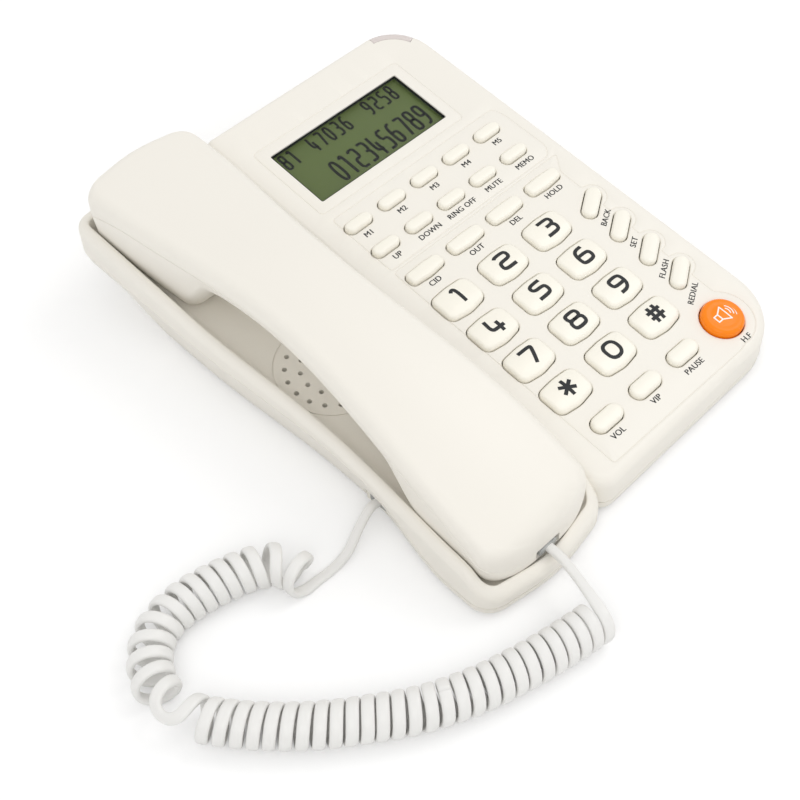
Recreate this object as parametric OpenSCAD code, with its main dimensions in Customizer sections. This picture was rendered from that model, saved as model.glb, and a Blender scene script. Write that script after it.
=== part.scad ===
// Corded desk telephone with a caller display, a side cradle and a curly handset cord.
// Frame: millimetres, +Z up, +X to the user's right, +Y to the back.
// The origin is on the desk, at the middle of the base.

/* [Base] */
// Width of the base, cradle and keypad side by side
base_w = 158; // [154:1:166]
// Length of the base, measured over the cradle's bowed ends
base_l = 209; // [206:1:214]
// Width of the cradle tray, rim included
cradle_w = 56.6; // [56:0.2:58]
// How much of the cradle's length lies before the keypad's front edge
keypad_front_gap = 4.8; // [2:0.2:7]
// How much of the cradle's length lies behind the keypad's back edge
keypad_back_gap = 10.9; // [8:0.1:12]
// Slope of the keypad panel in degrees
panel_slope = 9; // [7:0.5:10]
// Height of the panel above the desk at its front edge
front_h = 14.5; // [14:0.5:18]
// Wall thickness of the upper shell
wall = 2.4; // [2:0.1:2.8]
// Wall thickness of the lower shell
lower_wall = 2; // [1.6:0.1:2.2]
// Radius of the panel's outer edges
edge_r = 3; // [2:0.25:4]
// Side draft of the lower shell, in millimetres per millimetre of height
lower_draft = 0.33; // [0.2:0.01:0.38]
// Height of the shells' parting line above the desk at the front
parting_h = 4.8; // [4.5:0.1:5.4]

/* [Cradle] */
// Slope of the cradle rim in millimetres per millimetre of length
rim_slope = 0.11; // [0.09:0.005:0.13]
// Height of the rim's sloping plane above the desk at the front end
rim_h = 16.1; // [15.6:0.1:17]
// How far the rim dips at the front, where the handset cord passes
rim_dip = 6; // [5:0.5:6.5]
// Width of the rim from the outer wall to the well
rim_w = 4.2; // [3.6:0.1:4.6]
// Depth of the well below the rim's sloping plane
well_depth = 9; // [8:0.25:9.5]
// Width of the rounded foot of the well's walls
well_round = 5; // [3:0.25:6]
// How far the cradle's left side draws in at the finger gap
waist_in = 3; // [0:0.5:4]

/* [Loudspeaker] */
// Diameter of the loudspeaker grille in the well's floor
grille_d = 39; // [34:1:40]
// Diameter of one grille hole
grille_hole = 1.8; // [1.2:0.1:2]
// Number of rings of holes round the middle hole
grille_rings = 3; // [2:1:3]

/* [Keys] */
// Width of a number key
key_w = 16.2; // [14:0.2:17.5]
// Depth of a number key
key_h = 12.3; // [11:0.1:13.2]
// Spacing of the number keys from left to right
key_pitch_x = 23; // [21:0.25:23]
// Spacing of the number keys from front to back, along the panel
key_pitch_y = 16.8; // [16.4:0.1:17]
// How far a key stands above the panel
key_rise = 1.8; // [1.2:0.1:2.6]
// How far a key travels when it is pressed
key_travel = 1.2; // [0.8:0.1:1.4]
// Gap between a key and the sides of its hole
key_gap = 0.35; // [0.25:0.05:0.45]
// Width of a memory key
memory_w = 11.6; // [10:0.2:12.4]
// Depth of a memory key
memory_h = 4.8; // [4.2:0.1:5.6]
// Width of the volume, list and pause keys
lower_w = 13.2; // [11:0.2:14.4]
// Depth of the volume, list and pause keys
lower_h = 6.4; // [5:0.1:6.8]
// Width of the call list keys above the number keys
list_w = 15.6; // [13:0.2:16]
// Depth of the call list keys above the number keys
list_h = 5.9; // [5:0.1:6.4]
// Length of a slanted key at the right edge
slant_w = 14; // [11:0.25:14.5]
// Width of a slanted key at the right edge
slant_h = 5.9; // [5:0.1:6.2]
// Angle of the slanted keys in degrees
slant_angle = 32; // [20:1:40]
// Diameter of the round loudspeaker key
speaker_key_d = 15.6; // [13:0.2:16.4]

/* [Display] */
// Width of the display window
lcd_w = 63.4; // [56:0.2:66]
// Height of the display window, along the panel
lcd_h = 27.8; // [24:0.2:30]
// Thickness of the display window
lcd_glass = 1.5; // [1:0.1:1.8]

/* [Handset] */
// Width of the handset at its ends
handset_w = 48.4; // [46:0.2:48.6]
// How much narrower the handset is at the grip, each side
grip_in = 5.8; // [3:0.2:7]
// Height of the handset's upper edge above the desk, at its highest
handset_h = 53.3; // [52:0.1:56]
// How far the upper edge comes down from there to the front end
handset_drop = 29; // [27:0.5:31]
// Height of the top half from the parting line to its crown
top_half_h = 7.5; // [6.5:0.25:9]
// Height of the grip's underside above the desk
grip_h = 41; // [39:0.5:42]
// Wall thickness of the handset shells
handset_wall = 2; // [1.6:0.1:2.2]
// How far the handset lifts clear of the cradle
lift = 80; // [60:5:100]

/* [Cord] */
// Width of the flat cord
cord_w = 3.7; // [3:0.1:3.8]
// Thickness of the flat cord
cord_t = 2.3; // [2:0.1:2.6]
// Radius of a curl, to the middle of the cord
curl_r = 6.1; // [5.6:0.1:6.3]
// Gap between neighbouring curls on the inside of a bend
curl_gap = 0.6; // [0.55:0.05:0.9]

/* [Hidden] */

// Colours
shell_colour = "#EEEAE0";
key_colour = "#F4EFE2";
orange_colour = "#FF8A12";
dark_colour = "#2E3234";
metal_colour = "#B8BCC0";
board_colour = "#3E7A4C";
cord_colour = "#E9E8E6";

// ---- General helpers ----
function unit(v) = v / norm(v);
function smooth(t) = t <= 0 ? 0 : t >= 1 ? 1 : t * t * (3 - 2 * t);
function bump(t) = abs(t) >= 1 ? 0 : (cos(180 * t) + 1) / 2;

// One rounded corner of a counter-clockwise outline: points as [x, y, outward x, outward y]
function corner(p0, p1, p2, r, n) =
  let (d1 = unit(p1 - p0), d2 = unit(p2 - p1), n1 = [d1[1], -d1[0]], n2 = [d2[1], -d2[0]],
    c = p1 - (n1 + n2) * r / (1 + n1 * n2), a1 = atan2(n1[1], n1[0]), turn = acos(n1 * n2))
  [for (i = [0:n]) let (a = a1 + turn * i / n)
    [c[0] + r * cos(a), c[1] + r * sin(a), cos(a), sin(a)]];

// Points between two outline points, about step apart, without the two ends
function between(a, b, step) =
  let (m = floor(norm([b[0] - a[0], b[1] - a[1]]) / step))
  m < 2 ? [] : [for (j = [1:m - 1]) a + (b - a) * j / m];

// A whole outline from corner points and their radii
function outline(poly, radii, n, step) =
  let (k = len(poly), arcs = [for (i = [0:k - 1])
    corner(poly[(i + k - 1) % k], poly[i], poly[(i + 1) % k], radii[i], n)])
  [for (i = [0:k - 1]) each concat(arcs[i], between(arcs[i][n], arcs[(i + 1) % k][0], step))];

// One level of a lofted solid: the outline moved in by d, at the height that z gives
function level(o, d, z) = [for (p = o) let (x = p[0] - p[2] * d, y = p[1] - p[3] * d) [x, y, z(y)]];

// Faces between loops of equal length, one above the other
function side_faces(n, k) = [for (j = [0:k - 2], i = [0:n - 1])
  let (a = j * n + i, b = j * n + (i + 1) % n)
  each [[a, a + n, b + n], [a, b + n, b]]];

// Loft whose end loops are flat
module loft(loops) {
  n = len(loops[0]);
  k = len(loops);
  polyhedron([for (l = loops) each l],
    concat([[for (i = [0:n - 1]) i]], side_faces(n, k), [[for (i = [n - 1:-1:0]) (k - 1) * n + i]]),
    convexity = 8);
}

// Cap of a loop whose points i and n - i lie at the same y, so that it may curve with y
function strip_cap(n, base, up) =
  let (h = n / 2, quads = [for (i = [0:h - 1])
    let (a = i, b = i + 1, c = (n - i - 1) % n, d = (n - i) % n)
    [for (q = i == 0 ? [a, b, c] : i == h - 1 ? [a, b, d] : [a, b, c, d]) base + q]])
  up ? [for (q = quads) [for (i = [len(q) - 1:-1:0]) q[i]]] : quads;

// Loft of a mirrored outline whose levels may curve with y
module cradle_loft(loops) {
  n = len(loops[0]);
  k = len(loops);
  polyhedron([for (l = loops) each l],
    concat(strip_cap(n, 0, false), side_faces(n, k), strip_cap(n, (k - 1) * n, true)),
    convexity = 8);
}

// ---- Base layout ----
left_x = -base_w / 2;
right_x = base_w / 2;
front_y = -base_l / 2;
back_y = base_l / 2;
cradle_x = left_x + cradle_w / 2;
cradle_right = left_x + cradle_w;
body_left = cradle_right - 1.6;
// How far the right side draws in towards the back
right_taper = 3.2;
body_front = front_y + keypad_front_gap;
body_back = back_y - keypad_back_gap;
panel_y0 = front_y + 1.8;
panel_t = tan(panel_slope);
foot_h = 2;
above = 70;

function panel_z(y) = front_h + (y - panel_y0) * panel_t;
function rim_plane(y) = rim_h + rim_slope * (y - front_y);
function rim_z(y) = rim_plane(y) - rim_dip * smooth((front_y + 17 - y) / 14);
function floor_z(y) = rim_plane(y) - well_depth;
function seam_z(y) = parting_h + 14 * smooth((y - front_y - 22) / 40) + 0.055 * max(0, y - front_y - 62);
rim_angle = atan(rim_slope);

// Keypad side, seen from above, with points on its long sides at most step apart
function body_outline(step) = outline(
  [[body_left, body_front], [right_x + 0.35, body_front + 2.5], [right_x - right_taper, body_back],
   [body_left, body_back]], [7, 22, 18, 4], 7, step);

// Cradle side, seen from above: the right half from the front apex to the back apex
cradle_half = let (w = cradle_w / 2, fy = front_y - 0.7, fs = front_y + 4.2, by = back_y + 0.3,
    bs = back_y - 2.6,
    f = corner([-w, fs], [0, fy], [w, fs], 60, 6),
    fr = corner([0, fy], [w, fs], [w, 0], 9, 7),
    br = corner([w, 0], [w, bs], [0, by], 7, 6),
    b = corner([w, bs], [0, by], [-w, bs], 60, 6))
  concat([f[3], f[4], f[5], f[6]], fr, between(fr[7], br[0], 9), br, [b[0], b[1], b[2], b[3]]);
waist_y = front_y + 78;
function waist(y) = waist_in * bump((y - waist_y) / 68);
cradle_outline = let (h = cradle_half, m = len(h))
  concat([for (p = h) [p[0] + cradle_x, p[1], p[2], p[3]]],
    [for (i = [m - 2:-1:1]) let (p = h[i])
      [cradle_x - p[0] + waist(p[1]) * min(1, abs(p[2]) * 2), p[1], -p[2], p[3]]]);

// Quarter round from a wall (0) to a top (90), as [inward, downward] steps
function round_steps(r, n) = [for (i = [0:n]) let (a = 90 * i / n) [r * (1 - cos(a)), r * (1 - sin(a))]];

module body_solid(inset, drop) {
  o = body_outline(base_l);
  loft(concat([level(o, inset, function (y) 0)],
    [for (s = round_steps(edge_r, 4)) level(o, inset + s[0],
      function (y) panel_z(y) - drop - s[1])]));
}

module cradle_solid(inset, drop) {
  cradle_loft(concat([level(cradle_outline, inset, function (y) 0)],
    [for (s = round_steps(3, 4)) level(cradle_outline, inset + s[0],
      function (y) rim_z(y) - drop - s[1])]));
}

// The well, grown outwards and downwards by grow
module well(grow) {
  lip = 1.2;
  cradle_loft(concat(
    [for (i = [4:-1:0]) let (a = 90 * i / 4)
      level(cradle_outline, rim_w - grow + well_round * (1 - cos(a)),
        function (y) let (top = rim_z(y) - lip - grow) top - (top - floor_z(y) + grow) * sin(a))],
    [level(cradle_outline, rim_w - grow - 0.4, function (y) rim_z(y) - grow - 0.3),
     level(cradle_outline, rim_w - grow - 1, function (y) rim_z(y) + 0.02),
     level(cradle_outline, rim_w - grow - 1, function (y) rim_plane(y) + above)]));
}

// Everything below a curve that runs along the base
module below(y_list, z) {
  rotate([90, 0, 90])
    translate([0, 0, left_x - 20])
      linear_extrude(base_w + 40)
        polygon(concat([for (y = y_list) [y, z(y)]],
          [[y_list[len(y_list) - 1], -30], [y_list[0], -30]]));
}
seam_ys = [for (y = [front_y - 20, for (i = [0:11]) front_y + 20 + i * 4, back_y + 20]) y];

// Lower shell's outer form: drawn in below the parting line, with an overhang at the back
heel_y = back_y - 42;
// Underside behind the heel: steps back and up from the heel's foot
HEEL = [[0, 0], [6, 6], [13, 17], [17, 18.6]];
// Drawn in by the same share of the height at every y, so that the foot stays straight
function side_draft(y) = (lower_draft * (seam_z(y) - parting_h) + 0.3) / (seam_z(y) - foot_h);
module lower_form(o, inset, floor_h, joined) {
  foot = [for (p = o)
    let (d = inset + side_draft(p[1]) * (1 - smooth(joined * p[2] / 0.7)) * (seam_z(p[1]) - floor_h))
    [p[0] - p[2] * d, p[1] - p[3] * d, floor_h]];
  loft([foot, level(o, inset, function (y) seam_z(y) + 0.5), level(o, inset, function (y) above)]);
}
module heel_cut(offset_h) {
  rotate([90, 0, 90])
    translate([0, 0, left_x - 20])
      linear_extrude(base_w + 40)
        polygon(concat([[heel_y - offset_h, -10]],
          [for (h = HEEL) [heel_y + h[0] - offset_h, foot_h + h[1] + (h[1] > 0 ? offset_h : 0)]],
          [[back_y + 20, foot_h + 20 + offset_h], [back_y + 20, -10]]));
}

// ---- The sloping panel's own frame: u to the right, v up the slope, w out of the panel ----
module on_panel(u = 0, v = 0, w = 0) {
  translate([0, panel_y0, front_h])
    rotate([panel_slope, 0, 0])
      translate([u, v, w])
        children();
}
function panel_y(v) = panel_y0 + v * cos(panel_slope);

// ---- Key layout ----
keys_u = right_x - 60.5;
keys_v = 36.7;
lower_v = 20.6;
list_v = keys_v + 3 * key_pitch_y + 16.5;
memory_v = list_v + 16.5;
memory_pitch = 16.55;
memory_u = keys_u - key_pitch_x - 2.7;
memory_row = 13.8;
list_pitch = 20.35;
lower_pitch = 19.8;
slant_u = right_x - 15.5;
slant_v = 43.2;
slant_pitch = 14;
speaker_u = right_x - 19.9;
speaker_v = 20.4;

// Kinds of key
NUMBER = 0;
LIST = 1;
PILL = 2;
ROUND = 3;

// Each key: name, kind, u, v, width, depth, angle
KEYS = concat(
  [for (r = [0:3], c = [0:2]) [str("key_", ["1", "2", "3", "4", "5", "6", "7", "8", "9", "star", "0",
    "hash"][r * 3 + c]), NUMBER, keys_u + (c - 1) * key_pitch_x, keys_v + (3 - r) * key_pitch_y,
    key_w, key_h, 0]],
  [for (i = [0:2]) [str("key_", ["volume", "vip", "pause"][i]), PILL,
    keys_u - key_pitch_x + 2.3 + i * lower_pitch, lower_v, lower_w, lower_h, 0]],
  [for (i = [0:3]) [str("key_", ["cid", "out", "delete", "hold"][i]), LIST,
    keys_u - key_pitch_x + 0.4 + i * list_pitch, list_v, list_w, list_h, 0]],
  [for (i = [0:4]) [str("key_", ["up", "down", "ring_off", "mute", "memo"][i]), PILL,
    memory_u + i * memory_pitch, memory_v, memory_w, memory_h, 0]],
  [for (i = [0:4]) [str("key_m", i + 1), PILL,
    memory_u + i * memory_pitch, memory_v + memory_row, memory_w, memory_h, 0]],
  [for (i = [0:3]) [str("key_", ["redial", "flash", "set", "back"][i]), PILL,
    slant_u, slant_v + i * slant_pitch, slant_w, slant_h, slant_angle]],
  [["key_speaker", ROUND, speaker_u, speaker_v, speaker_key_d, speaker_key_d, 0]]);

// Outline of a key in the panel plane, grown by g
module key_shape(kind, kw, kh, g) {
  if (kind == NUMBER)
    barrel(kw / 2 + g, kh / 2 + g, 3 + g, 1.1);
  else if (kind == LIST)
    barrel(kw / 2 + g, kh / 2 + g, 1.8 + g, 0.6);
  else if (kind == PILL)
    union() {
      square([kw - kh, kh + 2 * g], center = true);
      for (s = [-1, 1])
        translate([s * (kw - kh) / 2, 0])
          circle(r = kh / 2 + g, $fn = 48);
    }
  else
    circle(r = kw / 2 + g, $fn = 64);
}

// Rectangle with round corners and gently bowed front and back edges
module barrel(a, b, r, bow) {
  polygon([for (p = outline([[-a, -b + bow], [0, -b - bow * 0.15], [a, -b + bow],
    [a, b - bow * 0.5], [0, b + bow * 0.1], [-a, b - bow * 0.5]], [r, 14, r, r, 20, r], 3, 100))
    [p[0], p[1]]]);
}

key_flange_t = 0.9;
key_flange_w = 0.7;
key_crown = 1.6;
speaker_crown_r = 34;
speaker_crown_h = key_rise + 1.2;
key_foot = wall + 0.1 + key_flange_t + 0.8;
mat_top = key_foot + key_travel + 0.2;
mat_base = mat_top + 1.1;
mat_t = 1.0;
board_top = mat_base + mat_t;
board_t = 1.6;

module key_body(k) {
  kind = k[1];
  kw = k[4];
  kh = k[5];
  on_panel(k[2], k[3])
    rotate([0, 0, k[6]]) {
      if (kind == ROUND) {
        intersection() {
          translate([0, 0, -wall - 0.2])
            linear_extrude(wall + 0.2 + speaker_crown_h)
              key_shape(kind, kw, kh, 0);
          translate([0, 0, speaker_crown_h - speaker_crown_r])
            sphere(r = speaker_crown_r, $fn = 128);
        }
      } else {
        intersection() {
          translate([0, 0, -wall - 0.2])
            linear_extrude(wall + 0.2 + key_rise)
              key_shape(kind, kw, kh, 0);
          translate([0, 0, key_rise - kh * key_crown])
            rotate([0, 90, 0])
              cylinder(r = kh * key_crown, h = kw + 4, center = true, $fn = 96);
        }
      }
      translate([0, 0, -wall - 0.1 - key_flange_t])
        linear_extrude(key_flange_t)
          key_shape(kind, kw, kh, key_flange_w);
      translate([0, 0, -key_foot])
        cylinder(d = min(kh - 1, 5), h = 1.2, $fn = 32);
    }
}

// ---- Shared positions ----
// Screw posts: x, y and the height where the two shells' posts meet
POSTS = [[body_left + 6.4, front_y + 43, 10], [body_left + 6.4, back_y - 48, 14],
  [right_x - 7.5, front_y + 34, 10], [right_x - 10, back_y - 48, 14],
  [cradle_x + 15, back_y - 50, 12], [cradle_x, front_y + 42, 7.4]];
function bore_top(i) = i < 4 ? panel_z(POSTS[i][1]) - wall - 0.6 : floor_z(POSTS[i][1]) - wall - 0.4;
post_d = 6.4;
screw_d = 2.9;
screw_gap = 0.1;
screw_head_d = 5.4;
screw_head_h = 1.9;

module post(p, from_z, to_z, hole_d) {
  translate([p[0], p[1], from_z])
    difference() {
      cylinder(d = post_d, h = to_z - from_z, $fn = 48);
      translate([0, 0, -1])
        cylinder(d = hole_d, h = to_z - from_z + 2, $fn = 32);
    }
}

// Loudspeaker under the well's floor
speaker_y = front_y + 103.8;
module at_speaker(w = 0) {
  translate([cradle_x, speaker_y, floor_z(speaker_y)])
    rotate([rim_angle, 0, 0])
      translate([0, 0, w])
        children();
}

// Cradle switch
hook_y = back_y - 44;
hook_w = 9;
hook_l = 5;
hook_rise = 4;

// Base end of the handset cord, under the left side
jack_y = front_y + 58.3;
jack_z = 7;
jack_w = 11;
jack_h = 6;
jack_len = 12;
plug_w = 7.6;
plug_h = 4.2;
plug_len = 10;
jack_mouth = left_x + waist(jack_y) + side_draft(jack_y) * (seam_z(jack_y) - jack_z - jack_h / 2) + 1.4;

// Line socket in the back wall
line_x = 24;
line_w = 15;
line_h = 12;
line_z = panel_z(body_back) - 12.5;

// Battery door in the floor
door_w = 62;
door_l = 32;
door_x = 26;
door_y = 10;
door_gap = 0.25;

// Corner lens over the message lamp, at the back right corner
lens_c = [right_x - right_taper, body_back];
lens_reach = 17;
lens_h = 8;
module lens_region(g) {
  on_panel(0, 0, -lens_h - g)
    linear_extrude(lens_h + g + 4)
      polygon([for (p = [[-lens_reach - g, 6], [-lens_reach - g, 0], [0, -(lens_reach - 4) - g],
        [8, -(lens_reach - 4) - g], [8, 6]])
        [lens_c[0] + p[0], (lens_c[1] - panel_y0) / cos(panel_slope) + p[1]]]);
}

// ---- Base sub-parts ----
// The free-form part of the upper shell, taken to the base's exact size
module upper_form() {
  resize([base_w, base_l, 0])
    union() {
      difference() {
        union() {
          cradle_solid(0, 0);
          body_solid(0, 0);
        }
        cradle_solid(wall, wall);
        body_solid(wall, wall);
        well(0);
        below(seam_ys, function (y) seam_z(y));
        key_field(0.35);
      }
      // The cradle's bowl
      difference() {
        intersection() {
          well(wall);
          cradle_solid(0.5, 0.5);
        }
        well(0);
      }
    }
}

module base_upper_shell() {
  color(shell_colour)
    difference() {
      union() {
        upper_form();
        for (i = [0:3])
          post(POSTS[i], POSTS[i][2], panel_z(POSTS[i][1]) - wall + 0.9, screw_d + 2 * screw_gap);
        for (i = [4:5])
          post(POSTS[i], POSTS[i][2], floor_z(POSTS[i][1]) - wall + 0.8, screw_d + 2 * screw_gap);
      }
      for (k = KEYS)
        on_panel(k[2], k[3], -wall - 1)
          rotate([0, 0, k[6]])
            linear_extrude(wall + 2)
              key_shape(k[1], k[4], k[5], key_gap);
      display_opening();
      lens_region(0.15);
      at_speaker(-wall - 1)
        for (h = grille_holes)
          translate([h[0], h[1], 0])
            cylinder(d = grille_hole, h = wall + 2, $fn = 16);
      // Ring groove round the loudspeaker's holes
      at_speaker(-0.3)
        difference() {
          cylinder(d = grille_d + 0.6, h = 1, $fn = 96);
          translate([0, 0, -1])
            cylinder(d = grille_d - 0.4, h = 3, $fn = 96);
        }
      // Cradle switch slot
      translate([cradle_x, hook_y, floor_z(hook_y)])
        cube([hook_w + 0.6, hook_l + 0.6, 2 * wall + 6], center = true);
      // Line socket opening
      translate([line_x, body_back, line_z])
        cube([line_w + 0.3, 2 * wall + 6, line_h + 0.3], center = true);
    }
}

grille_holes = concat([[0, 0]], [for (r = [1:grille_rings], i = [0:6 * r - 1])
  let (a = 360 * i / (6 * r), d = r * grille_d / (2 * grille_rings + 1.5)) [d * cos(a), d * sin(a)]]);

// Raised fields' outline, sunk by depth into the panel outside them
module key_field(depth) {
  on_panel(0, 0, -depth)
    linear_extrude(depth + 1)
      difference() {
        offset(r = 0.45)
          field_shape();
        field_shape();
      }
}
field_left = body_left + 11;
lcd_u = right_x - 57.1;
lcd_v = 163.5;
lcd_frame = 4.4;
module field_shape() {
  union() {
    // Memory key field
    polygon([[field_left, memory_v - 8.7], [right_x - 10.6, memory_v - 8.7],
      [right_x - 7.8, memory_v - 5], [right_x - 8.4, memory_v + 16],
      [right_x - 10, memory_v + 20.7], [field_left, memory_v + 20.7]]);
    // Number key field with a lobe round each slanted key and the round key
    polygon([[field_left, 8], [right_x - 24, 8], [right_x - 13, speaker_v + 8],
      [right_x - 13, memory_v - 17], [right_x - 8, memory_v - 10.4], [field_left, memory_v - 10.4]]);
    for (i = [0:3])
      translate([slant_u, slant_v + i * slant_pitch])
        rotate([0, 0, slant_angle])
          translate([slant_w / 2 - slant_h / 2, 0])
            circle(r = slant_h / 2 + 1.9, $fn = 24);
    translate([speaker_u, speaker_v])
      circle(d = speaker_key_d + 7.6, $fn = 36);
    // Frame round the display
    translate([lcd_u, lcd_v])
      square([lcd_w + 2 * lcd_frame, lcd_h + 2 * lcd_frame], center = true);
  }
}

module display_opening() {
  on_panel(lcd_u, lcd_v, -wall - 1)
    translate([-lcd_w / 2, -lcd_h / 2, 0])
      cube([lcd_w, lcd_h, wall + 3]);
  // Seat for the window's flange, under the panel
  on_panel(lcd_u, lcd_v, -wall - 3)
    translate([-lcd_w / 2 - 2.2, -lcd_h / 2 - 2.2, 0])
      cube([lcd_w + 4.4, lcd_h + 4.4, 3 + wall - lcd_glass - 0.3 + 0.6]);
}

module display_window() {
  color("#9DB08A", 0.6)
    on_panel(lcd_u, lcd_v, -0.3 - lcd_glass) {
      translate([-lcd_w / 2 + 0.15, -lcd_h / 2 + 0.15, 0])
        cube([lcd_w - 0.3, lcd_h - 0.3, lcd_glass]);
      translate([-lcd_w / 2 - 1.8, -lcd_h / 2 - 1.8, -0.5])
        cube([lcd_w + 3.6, lcd_h + 3.6, 1]);
    }
}

module display_module() {
  color("#5C6B3B")
    on_panel(lcd_u, lcd_v, -0.3 - lcd_glass - 0.7)
      union() {
        translate([-lcd_w / 2, -lcd_h / 2, -2.8])
          cube([lcd_w, lcd_h, 2.8]);
        translate([-lcd_w / 2 - 2.5, -lcd_h / 2 - 2.5, -4.4])
          cube([lcd_w + 5, lcd_h + 5, 1.6]);
      }
}

module message_lamp_lens() {
  color("#F0C8C0", 0.7)
    intersection() {
      difference() {
        body_solid(0, 0);
        body_solid(wall, wall);
      }
      lens_region(0);
    }
}

// Posts that pass the boards
module post_clearance(g) {
  for (i = [0:3])
    translate([POSTS[i][0], POSTS[i][1], 0])
      cylinder(d = post_d + 2 * g, h = above, $fn = 48);
}

board_u0 = body_left + 10.2;
board_u1 = right_x - 5;
board_v0 = 11;
board_v1 = 141;
module board_plate(t, inset) {
  linear_extrude(t)
    polygon([[board_u0 + inset, board_v0 + inset], [board_u1 - 14 - inset, board_v0 + inset],
      [board_u1 - inset, board_v0 + 20 + inset], [board_u1 - 1 - inset, board_v1 - inset],
      [board_u0 + inset, board_v1 - inset]]);
}

module main_board() {
  color(board_colour)
    difference() {
      on_panel(0, 0, -board_top - board_t)
        board_plate(board_t, 0);
      post_clearance(0.5);
    }
  // Components on the board's underside
  color(dark_colour)
    for (c = [[keys_u - 20, 70, 14, 14, 1.6], [keys_u + 10, 60, 10, 18, 1.4], [keys_u - 8, 110, 8, 8, 3],
      [keys_u + 26, 118, 12, 9, 3.4]])
      on_panel(c[0], c[1], -board_top - board_t - c[4])
        translate([-c[2] / 2, -c[3] / 2, 0])
          cube([c[2], c[3], c[4]]);
}

module keypad_mat() {
  color("#D8D4C8")
    difference() {
      union() {
        on_panel(0, 0, -mat_base - mat_t)
          board_plate(mat_t, 1);
        for (k = KEYS)
          on_panel(k[2], k[3], -mat_base - 0.2)
            cylinder(d1 = min(k[5] - 0.4, 8), d2 = min(k[5] - 1.4, 5), h = 0.2 + mat_base - mat_top, $fn = 32);
      }
      post_clearance(0.5);
    }
}

module loudspeaker() {
  color(metal_colour)
    at_speaker(-wall - 0.2) {
      difference() {
        translate([0, 0, -2])
          cylinder(d = grille_d - 1, h = 2, $fn = 96);
        translate([0, 0, -1.4])
          cylinder(d1 = 12, d2 = grille_d - 5, h = 1.5, $fn = 96);
      }
      translate([0, 0, -4.4])
        cylinder(d = 15, h = 2.5, $fn = 64);
    }
}

module base_cord_jack() {
  color(dark_colour)
    difference() {
      translate([jack_mouth, jack_y - jack_w / 2, jack_z - jack_h / 2])
        cube([jack_len + 2, jack_w, jack_h]);
      translate([jack_mouth - 1, jack_y - plug_w / 2 - 0.1, jack_z - plug_h / 2 - 0.1])
        cube([plug_len + 1.2, plug_w + 0.2, plug_h + 0.2]);
    }
}

module line_jack() {
  color(dark_colour)
    difference() {
      translate([line_x - line_w / 2, body_back - wall - 12, line_z - line_h / 2])
        cube([line_w, 12 + wall - 0.8, line_h]);
      translate([line_x - 4.9, body_back - wall - 9, line_z - 3.3])
        cube([9.8, 12 + wall, 6.6]);
    }
}

FEET = [[left_x + 20, front_y + 18], [right_x - 18, front_y + 22], [left_x + 20, heel_y - 12],
  [right_x - 20, heel_y - 12]];
foot_d = 10;
foot_sink = 0.6;
module rubber_feet() {
  color("#55585A")
    for (f = FEET)
      translate([f[0], f[1], 0])
        union() {
          cylinder(d1 = foot_d - 1.2, d2 = foot_d, h = 0.6, $fn = 64);
          translate([0, 0, 0.6])
            cylinder(d = foot_d, h = foot_h + foot_sink - 0.6, $fn = 64);
        }
}

module base_screws() {
  color(metal_colour)
    for (i = [0:len(POSTS) - 1])
      let (p = POSTS[i], seat = screw_seat(p))
        union() {
          translate([p[0], p[1], seat - screw_head_h])
            cylinder(d = screw_head_d, h = screw_head_h, $fn = 48);
          translate([p[0], p[1], seat - 0.2])
            cylinder(d = screw_d, h = min(8, bore_top(i) - seat) + 0.2, $fn = 32);
        }
}
// Height of the face that a screw's head bears on
function screw_seat(p) = p[2] - 2.6;

// The free-form part of the lower shell, taken to the base's exact size
module lower_tray() {
  resize([base_w, base_l, 0])
    difference() {
      intersection() {
        union() {
          lower_form(cradle_outline, 0, foot_h, 1);
          lower_form(body_outline(12), 0, foot_h, -1);
        }
        below(seam_ys, function (y) seam_z(y));
      }
      difference() {
        union() {
          lower_form(cradle_outline, lower_wall, foot_h + lower_wall, 1);
          lower_form(body_outline(12), lower_wall, foot_h + lower_wall, -1);
        }
        heel_cut(lower_wall);
      }
      heel_cut(0);
      well(wall + 0.3);
    }
}

module base_lower_shell() {
  color(shell_colour)
    difference() {
      union() {
        lower_tray();
        for (p = POSTS)
          post(p, foot_h, p[2], 1);
      }
      for (p = POSTS) {
        translate([p[0], p[1], -1])
          cylinder(d = screw_head_d + 0.4, h = screw_seat(p) + 1, $fn = 48);
        translate([p[0], p[1], -1])
          cylinder(d = screw_d + 2 * screw_gap, h = above, $fn = 32);
      }
      for (f = FEET)
        translate([f[0], f[1], -1])
          cylinder(d = foot_d + 0.2, h = 1 + foot_h + foot_sink, $fn = 64);
      // Opening for the handset cord's socket
      translate([left_x - 5, jack_y - jack_w / 2 - 0.2, jack_z - jack_h / 2 - 0.2])
        cube([jack_mouth - left_x + 5 + jack_len, jack_w + 0.4, jack_h + 0.4]);
      // Battery door opening with its ledge
      translate([door_x - door_w / 2 - door_gap, door_y - door_l / 2 - door_gap, foot_h - 1])
        cube([door_w + 2 * door_gap, door_l + 2 * door_gap, 2.2]);
      translate([door_x - door_w / 2 + 3, door_y - door_l / 2 + 3, foot_h - 1])
        cube([door_w - 6, door_l - 6, 8]);
    }
}

module battery_door() {
  color(shell_colour)
    difference() {
      translate([door_x - door_w / 2, door_y - door_l / 2, foot_h])
        cube([door_w, door_l, 1.15]);
      for (i = [-2:2])
        translate([door_x + i * 4 - 0.6, door_y - door_l / 2 + 3, foot_h - 1])
          cube([1.2, 8, 1.4]);
    }
}

module hook_plunger() {
  color(key_colour)
    translate([cradle_x, hook_y, floor_z(hook_y)]) {
      translate([-hook_w / 2, -hook_l / 2, -wall - hook_rise - 2.6])
        cube([hook_w, hook_l, wall + hook_rise + 2.6 - 0.3]);
      translate([-hook_w / 2 - 1.5, -hook_l / 2 - 1.5, -wall - hook_rise - 1.9])
        cube([hook_w + 3, hook_l + 3, 1.2]);
    }
}

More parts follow.
